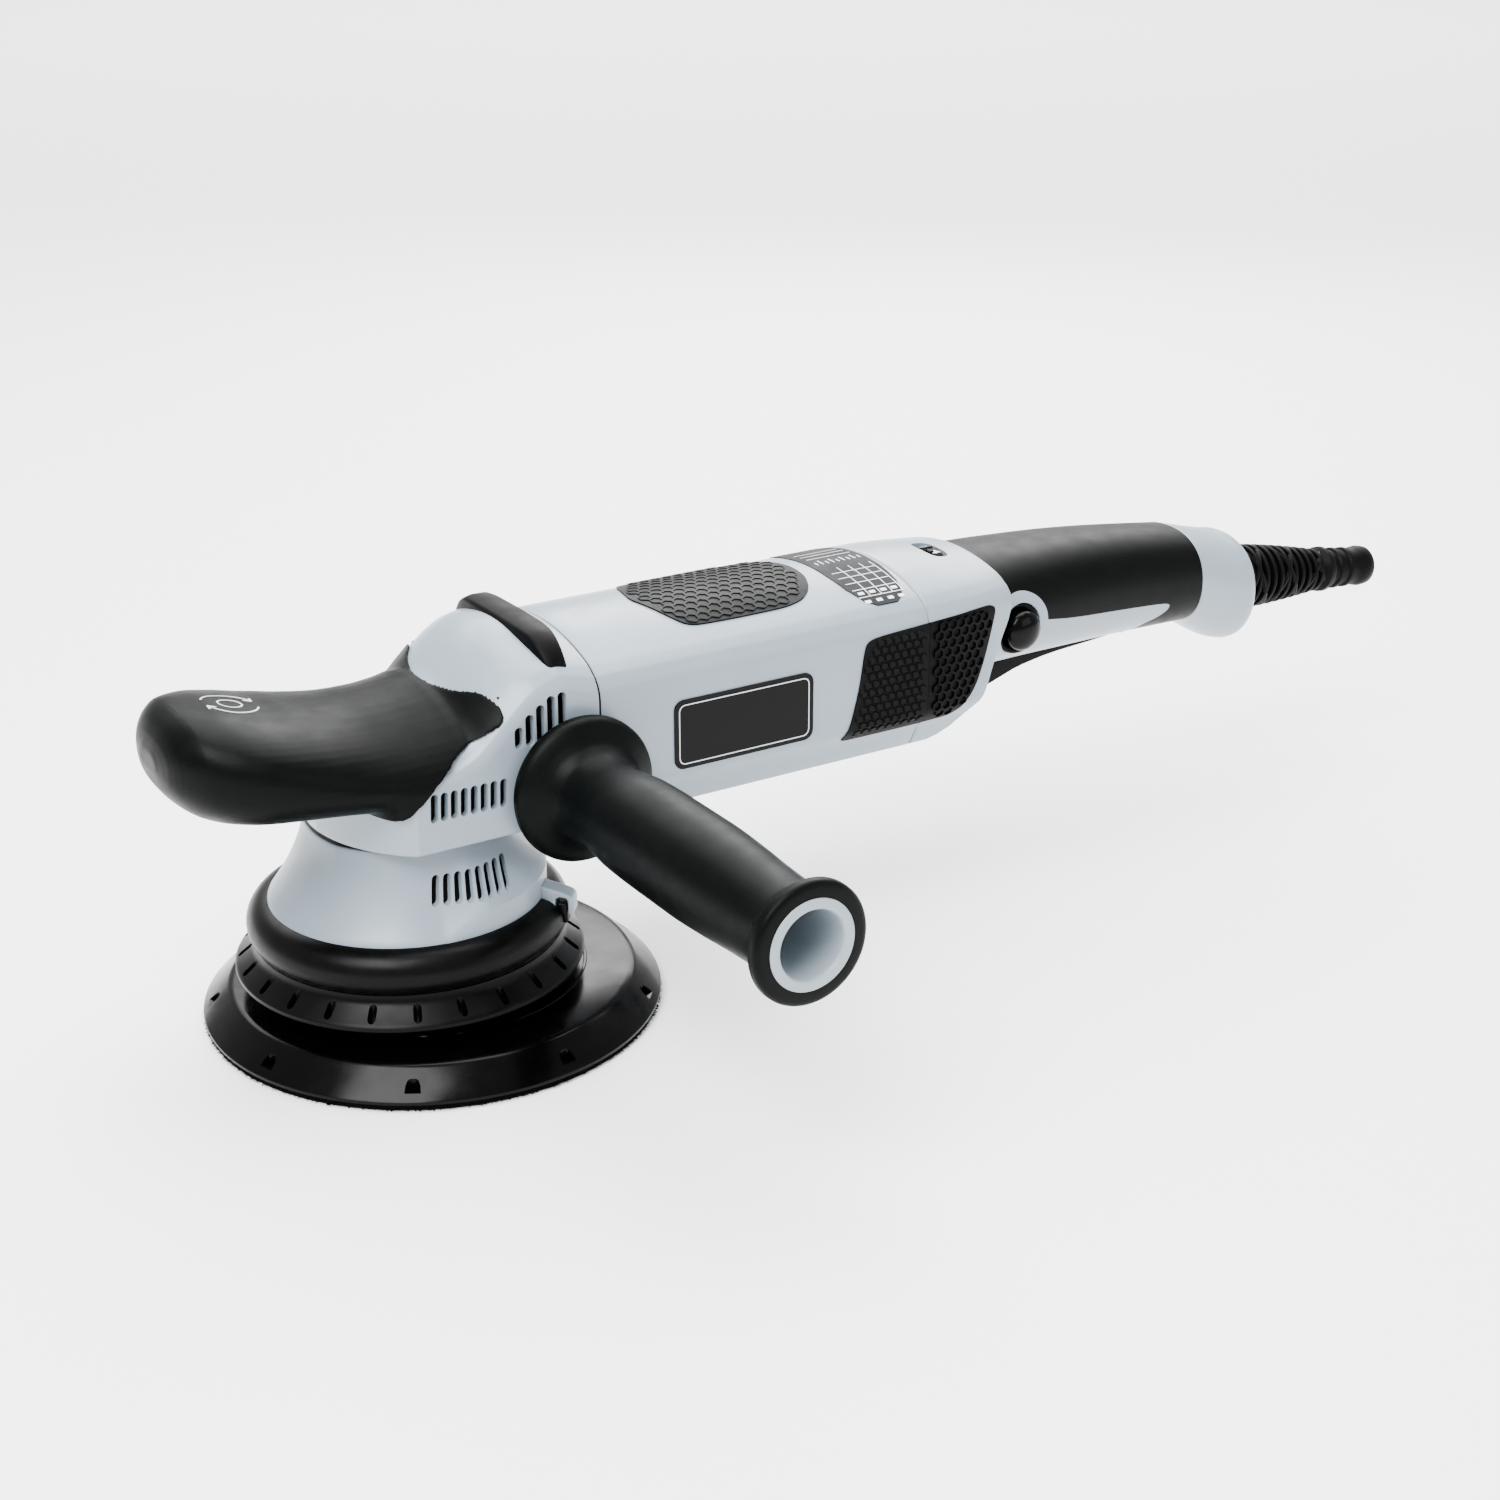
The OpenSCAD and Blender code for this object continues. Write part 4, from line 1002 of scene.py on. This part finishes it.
def rounded_box(cx, cz, w, h, r):
    out = []
    for sx, sz, a0 in ((1, 1, 0), (-1, 1, 90), (-1, -1, 180), (1, -1, 270)):
        for k in range(7):
            a = math.radians(a0 + 15 * k)
            out.append((cx + sx * (w / 2 - r) + r * math.cos(a), cz + sz * (h / 2 - r) + r * math.sin(a)))
    return out


BADGE = (105.2, 89.9, 53.4, 23.8)


def badges():
    x, z, w, h = BADGE
    for side, word in ((-1, "near"), (1, "far")):
        lift = side_lift(side)
        slab = plate_on(rounded_box(x, z, w, h, 3.5), lift, 0.5)
        obj = mesh_piece(f"badge_{word}", *slab, PAINT["gloss_black"])
        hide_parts("badges")
        outer = rounded_box(x, z, w - 3.2, h - 3.2, 2.4)
        inner = rounded_box(x, z, w - 3.9, h - 3.9, 2.1)
        n = len(outer)
        points = [lift(a, b, 0.58) for a, b in outer + inner] + [lift(a, b, 0.3) for a, b in outer + inner]
        faces = []
        for k in range(n):
            j = (k + 1) % n
            faces += [(k, j, n + j, n + k), (k, j, 2 * n + j, 2 * n + k), (n + k, n + j, 3 * n + j, 3 * n + k)]
        mesh_piece(f"badge_line_{word}", points, faces, BADGE_PRINT)


# ---- Rear handle ----

HANDLE_TOP = [
    (190, 119.9), (228, 119.9), (245, 119.4), (262, 118.6), (280, 117.2), (300, 115), (GRIP_X1, 112.4)
]
HANDLE_LOW = [(190, 78), (232, 77.6), (262, 77), (290, 76.4), (GRIP_X1, 75.5)]
HANDLE_W = [(190, 31), (214, 30.4), (232, 28.6), (255, 26.4), (275, 24.6), (297, 22.8), (GRIP_X1, 21.5)]
STRIP = [
    (190, 60), (292, 60), (292.4, 80), (295, 82.6), (300, 84.4), (304, 87), (304.4, 89.4), (300, 90.6),
    (241, 95.8), (216, 105), (190, 105)
]


def handle_ring(x, t):
    top, low = curve(HANDLE_TOP, x) - t, curve(HANDLE_LOW, x) + t
    return [
        (x, y, (top + low) / 2 + z)
        for y, z in superellipse(curve(HANDLE_W, x) - t, (top - low) / 2, 2.3, 96)
    ]


def cut_handle(obj):
    """Takes the room of the trigger and of the rear housing out of the handle."""
    carve(obj, block("slot", (205, -9.6, 60), (292, 9.6, 87)))
    edge = [(x - 0.2, z) for z, x in REAR_EDGE]
    carve(obj, prism("shell", [(170, 50)] + edge + [(170, 135)], "y", -60, 60))


def strip_cutter():
    return prism("strip", rounded(STRIP, 2), "y", -60, 60)


def boss_cutter():
    return prism("boss", circle(BUTTON_X, BUTTON_Z, 13.5), "y", -60, 60)


def handle_frame():
    xs = spread(196, GRIP_X1 - 0.4, 60)
    obj = loft("handle_core", [handle_ring(x, 0.5) for x in xs], GREY)
    full = loft("full", [handle_ring(x, 0) for x in spread(197, 310, 60)], None)
    carve(full, carve(strip_cutter(), boss_cutter(), "UNION"), "INTERSECT")
    carve(obj, full, "UNION")
    cut_handle(obj)
    carve(obj, bore("pocket", 9.6, 11.3, 40, on_button()), sharp=28)
    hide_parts("handle_frame")
    ring = [(7.4, 12), (9.4, 12), (9.4, 27.2), (9.1, 27.9), (8.5, 28.1), (7.8, 27.8), (7.4, 27)]
    revolve("lock_ring", ring, BLACK, place=on_button(), n=72)


def on_button():
    return facing_near(BUTTON_X, 0, BUTTON_Z)


def handle_grip():
    xs = spread(197, GRIP_X1 - 0.1, 80)
    rings = [handle_ring(GRIP_X1 - 0.05, 2.4)] + [handle_ring(x, 0) for x in reversed(xs)]
    obj = loft("grip_rubber", rings, RUBBER)
    carve(obj, strip_cutter())
    carve(obj, boss_cutter())
    cut_handle(obj)
    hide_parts("handle_grip")


def lock_button():
    profile = [(0.01, 8), (3, 8), (3, 23.5), (6.9, 23.5), (7.2, 23.9), (7.2, 30.4)]
    profile += [(7.2 * math.cos(a), 30.6 + 3.7 * math.sin(a)) for a in spread(0.08, math.pi / 2 - 0.01, 14)]
    obj = revolve("lock_cap", profile + [(0.01, 34.3)], PAINT["gloss_black"], "lock", on_button(), n=72)
    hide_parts("lock_button")


def trigger():
    outline = [
        (214.7, 76), (215.7, 69.2), (218.6, 66.5), (223.6, 66.1), (232, 68.6), (243, 72.2), (258, 74.6),
        (282, 76), (288.8, 76.8), (290.8, 78.4), (290.8, 83), (289, 84.3), (217, 84.3), (214.7, 82.5)
    ]
    obj = prism("trigger_blade", rounded(outline, 1), "y", -8.9, 8.9, BLACK, "trigger")
    bevelled(obj, 1.4, 4, 50)
    carve(obj, bore("hole", 2.05, -20, 20, facing_near(288, 0, 81), 32))
    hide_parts("trigger")


CAP_RINGS = [
    (GRIP_X1, 21.6, 18.5, 94), (323.5, 21.7, 18.8, 93), (329, 22, 19.6, 90.7), (335, 22.3, 20.6, 88.2),
    (341, 22.4, 21.4, 86), (346, 22.3, 21.7, 85), (350.3, 21.2, 20.8, 84.8), (352.3, 18.6, 18.4, 84.8)
]


def cap_ring(x, t):
    a, b, c = (curve([(q[0], q[k]) for q in CAP_RINGS], x) for k in (1, 2, 3))
    return [(x, y, c + z) for y, z in superellipse(a - t, b - t, 2.15, 96)]


def end_cap():
    xs = spread(GRIP_X1 + 0.8, 345, 24)
    rings = [cap_ring(GRIP_X1 + 0.1, 2.4), cap_ring(GRIP_X1 + 0.1, 0.7), cap_ring(GRIP_X1 + 0.25, 0.3)]
    rings += [cap_ring(x, 0) for x in xs]
    for k in range(1, 9):
        a = math.pi / 2 * k / 8
        rings.append(cap_ring(345.2 + 6.6 * math.sin(a), 0.1 + 4 * (1 - math.cos(a))))
    rings += [cap_ring(351.2, 7), cap_ring(350.8, 8)]
    obj = loft("cap_shell", rings, GREY, sharp=28)
    carve(obj, bore("bore", 13.7, -6, 30, boot_place()), sharp=28)
    hollow = loft("hollow", [cap_ring(x, 2.6) for x in spread(GRIP_X1 - 2, 345, 12)], None)
    carve(obj, hollow, sharp=28)
    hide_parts("end_cap")


def boot_place():
    return Matrix.Translation(BOOT_START) @ Matrix.Rotation(math.radians(90) + BOOT_TILT, 4, "Y")


def boot_r(s):
    return 13.3 - 0.05 * (s - 12) - 0.0011 * (s - 12) ** 2


def boot_web(phase, turns, s0, s1, lean):
    """Rubber strand that winds between the boot's ribs."""
    rings = []
    place = boot_place()
    for t in spread(0, 1, 91):
        s = s0 + (s1 - s0) * t
        a = phase + lean * turns * 2 * math.pi * t
        r = boot_r(s) - 0.7
        out = Vector((math.cos(a), math.sin(a), 0))
        rings.append([tuple(place @ (out * (r + u) + Vector((0, 0, s + v)))) for u, v in superellipse(0.75, 1, 2, 8)])
    return rings


def cable_boot():
    profile = [(4.1, 0), (16.4, 0), (16.5, 0.3), (16.5, 5.8), (16.1, 6.2), (13.5, 6.5), (13.5, 13.6), (13.1, 14.1)]
    rib = [(2.6, -0.3), (2.6, 0.1), (0.3, 0.35), (0, 0.75), (0, 1.65), (0.3, 2.05), (2.6, 2.3)]
    for s in spread(15, 58, 11):
        profile += [(boot_r(s) - depth, s + along) for depth, along in rib]
    profile += [
        (8.4, 63), (9, 63.6), (9.1, 65.4), (8.6, 66.4), (7.4, 67.2), (7.4, 70), (8.2, 70.6), (8.3, 72.2),
        (7.2, 73), (7.2, 76), (8, 76.6), (8.1, 78.2), (7.1, 79), (7.1, 82.6), (7.8, 83.8), (8.2, 86.4), (7.8, 89.2),
        (6.8, 90.3), (4.1, 90.4)
    ]
    obj = revolve("boot_ribs", profile, BLACK, place=boot_place(), n=96, sharp=35)
    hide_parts("cable_boot")
    for k, (phase, lean) in enumerate(((0.4, 1), (3.5, 1), (1.8, -1), (4.9, -1))):
        loft(f"boot_web_{k}", boot_web(phase, 1.25, 16, 62, lean), BLACK)


# ---- Speed dial ----


def speed_dial():
    x, y, z = DIAL
    place = Matrix.Translation(DIAL) @ Matrix.Rotation(math.radians(90), 4, "Y")
    rings = []
    for r_scale, h in ((0.2, -2.4), (0.96, -2.4), (1, -2), (1, 2), (0.96, 2.4), (0.2, 2.4)):
        ring = []
        for i in range(144):
            a = 2 * math.pi * i / 144
            r = 11 * r_scale - (0.55 if math.cos(18 * a) > 0.55 else 0) * (r_scale > 0.5)
            ring.append(tuple(place @ Vector((r * math.cos(a), r * math.sin(a), h))))
        rings.append(ring)
    obj = loft("dial_wheel", rings, BLACK, "dial", sharp=30)
    stem = [(0.01, 2.2), (2, 2.2), (2, 8), (0.01, 8)]
    revolve("dial_stem", stem, BLACK, "dial", place, n=32)
    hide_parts("speed_dial")
    for k in range(6):
        dial_digit(k + 1, math.radians(-96 + 38.4 * k))


def dial_digit(number, a):
    """Raised digit on the dial's rim, at an angle round it."""
    text = bpy.data.curves.new(f"digit_{number}", "FONT")
    text.body = str(number)
    text.size = 4.4 * MM
    text.extrude = 0.06 * MM
    text.align_x = "CENTER"
    text.align_y = "CENTER"
    digit = bpy.data.objects.new(f"digit_{number}", text)
    bpy.context.scene.collection.objects.link(digit)
    mesh = bpy.data.meshes.new_from_object(digit)
    mesh.transform(
        Matrix.Translation(Vector(DIAL) * MM) @ Matrix.Rotation(a, 4, "X")
        @ Matrix.Translation((0, 0, 11.06 * MM)) @ Matrix.Rotation(math.radians(-90), 4, "Z")
    )
    bpy.data.objects.remove(digit)
    mesh.materials.clear()
    mesh.materials.append(PRINT)
    solid = bpy.data.objects.new(f"dial_digit_{number}", mesh)
    bpy.context.scene.collection.objects.link(solid)
    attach(solid, "dial")


# ---- Side handle ----


def side_place():
    return facing_near(SOCKET_X, 0, SOCKET_Z)


def side_handle():
    s0, s1 = SIDE_START, SIDE_START + SIDE_LEN
    outer = [
        (s0, 21.6), (s0 + 0.5, 22.8), (s0 + 1.4, 23.6), (s0 + 2.8, 24), (s0 + 4.4, 23.9), (s0 + 5.8, 23.2),
        (s0 + 7.2, 21.6), (s0 + 8.8, 19.2), (s0 + 11, 16.7), (s0 + 15, 14.5), (s0 + 20, 13.9), (s0 + 27, 14.5),
        (s0 + 38, 15.7), (s0 + 52, 16), (s0 + 74, 16), (s0 + 90, 15.4), (s0 + 105, 14.4), (s0 + 116, 14),
        (s0 + 121, 14.3), (s0 + 124.6, 16), (s0 + 126.4, 17.8), (s1 - 3.2, 18.55), (s1 - 1.6, 18.5),
        (s1 - 0.6, 18), (s1 - 0.1, 17.2), (s1, 16.6)
    ]
    samples = [s0] + spread(s0 + 0.1, s0 + 14, 40) + spread(s0 + 15, s0 + 120, 50) + spread(s0 + 120.5, s1, 36)
    profile = [(curve(outer, s), s) for s in samples]
    profile += [(13.76, s1 - 0.05), (13.76, s1 - 6.3), (12.05, s1 - 6.3), (12.05, s0)]
    obj = revolve("side_grip", profile, RUBBER, place=side_place(), n=120, sharp=34)
    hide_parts("side_handle_grip")
    core = [
        (12, s0), (12, s1 - 6.2), (13.7, s1 - 6.2), (13.7, s1 + 0.1), (13.5, s1 + 0.35), (13.1, s1 + 0.45),
        (11.2, s1 + 0.45), (10.75, s1 + 0.3), (10.4, s1 - 0.2), (10.3, s1 - 1), (10, s0 + 11.1),
        (4.02, s0 + 11.1), (4.02, s0)
    ]
    obj = revolve("side_core", core, PAINT["grey_plastic"], place=side_place(), n=120, sharp=34)
    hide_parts("side_handle_core")


# ---- Orbit mark on the palm grip ----


def palm_z(x, y):
    """Height of the palm grip's top at (x, y)."""
    a = curve(PALM_W, x)
    top, low = curve(PALM_TOP, x), curve(PALM_LOW, x)
    return (top + low) / 2 + (top - low) / 2 * max(0, 1 - (abs(y) / a) ** 2.5) ** (1 / 2.5)


def flat_ribbon(path, width, cx, cy, lift_by=0.12):
    """Printed line on the palm grip along a path of (x, y) around a middle."""
    points, faces = [], []
    for k, (x, y) in enumerate(path):
        q = path[min(k + 1, len(path) - 1)]
        p = path[max(k - 1, 0)]
        dx, dy = q[0] - p[0], q[1] - p[1]
        d = max(math.hypot(dx, dy), 1e-9)
        for side in (-0.5, 0.5):
            a, b = cx + x - dy / d * width * side, cy + y + dx / d * width * side
            points.append((a, b, palm_z(a, b) + lift_by))
            points.append((a, b, palm_z(a, b) - 0.5))
        if k:
            s = 4 * (k - 1)
            faces += [(s, s + 2, s + 6, s + 4), (s, s + 1, s + 5, s + 4), (s + 2, s + 3, s + 7, s + 6)]
    return points, faces


def at_angle(r, degrees):
    return r * math.cos(math.radians(degrees)), r * math.sin(math.radians(degrees))


def orbit_mark():
    cx, cy = -53.6, 0.6
    paths = [[at_angle(8.4, a) for a in spread(a0, a0 + 140, 24)] for a0 in (20, 200)]
    paths += [[at_angle(3.6, a) for a in spread(a0, a0 + 175, 18)] for a0 in (0, 180)]
    paths += [[at_angle(8.4, a), at_angle(r, a + 16)] for a in (20, 200) for r in (6.8, 10)]
    mesh_piece("orbit_mark", *gathered([flat_ribbon(path, 0.55, cx, cy) for path in paths]), BADGE_PRINT)


# ---- Stage ----


def soft_box(name, place, aim, size, power):
    lamp = bpy.data.lights.new(name, "AREA")
    lamp.shape = "RECTANGLE"
    lamp.size, lamp.size_y = size
    lamp.energy = power
    obj = bpy.data.objects.new(name, lamp)
    bpy.context.scene.collection.objects.link(obj)
    obj.location = place
    direction = Vector(aim) - Vector(place)
    obj.rotation_euler = direction.to_track_quat("-Z", "Y").to_euler()


def studio():
    floor_paint = bpy.data.materials.new("floor_paint")
    floor_paint.use_nodes = True
    shader = floor_paint.node_tree.nodes["Principled BSDF"]
    shader.inputs["Base Color"].default_value = (0.96, 0.96, 0.96, 1)
    shader.inputs["Roughness"].default_value = 0.6
    mesh = bpy.data.meshes.new("floor")
    far = 14
    mesh.from_pydata([(-far, -far, 0), (far, -far, 0), (far, far, 0), (-far, far, 0)], [], [(0, 1, 2, 3)])
    floor = bpy.data.objects.new("floor", mesh)
    floor.location.z = -0.0002
    mesh.materials.append(floor_paint)
    bpy.context.scene.collection.objects.link(floor)
    world = bpy.data.worlds.new("studio")
    world.use_nodes = True
    world.node_tree.nodes["Background"].inputs["Color"].default_value = (1, 1, 1, 1)
    world.node_tree.nodes["Background"].inputs["Strength"].default_value = 1.1
    bpy.context.scene.world = world
    soft_box("key_light", (-0.7, -0.5, 1.3), (0.05, 0, 0.08), (0.9, 0.9), 60)
    soft_box("top_light", (0.3, 0.3, 1.5), (0.12, 0, 0.08), (1.4, 0.9), 44)
    soft_box("rim_light", (0.9, 0.9, 0.7), (0.15, 0, 0.1), (0.8, 0.5), 12)
    soft_box("backdrop_light", (2.4, 3.6, 3), (2.6, 3.9, 0), (6, 5), 620)
    soft_box("fill_light", (0.8, -1.2, 0.6), (0.12, 0, 0.08), (0.9, 0.7), 6)


def camera():
    lens = bpy.data.cameras.new("camera")
    lens.lens = 55.29
    lens.sensor_width = 36
    lens.clip_end = 100
    obj = bpy.data.objects.new("camera", lens)
    obj.location = (-0.26947, -0.62897, 0.36333)
    obj.rotation_euler = (math.radians(90 - 22.08), 0, math.radians(-32.52))
    bpy.context.scene.collection.objects.link(obj)
    bpy.context.scene.camera = obj


paint_frame()
motor_housing()
rear_housing()
head_cover()
top_ridge()
palm_grip()
skirt()
seam_seals()
bumper_ring()
vent_ring()
backing_plate()
hook_face()
side_panels()
top_pad()
rating_label()
badges()
handle_frame()
handle_grip()
lock_button()
trigger()
end_cap()
cable_boot()
speed_dial()
side_handle()
orbit_mark()
studio()
camera()
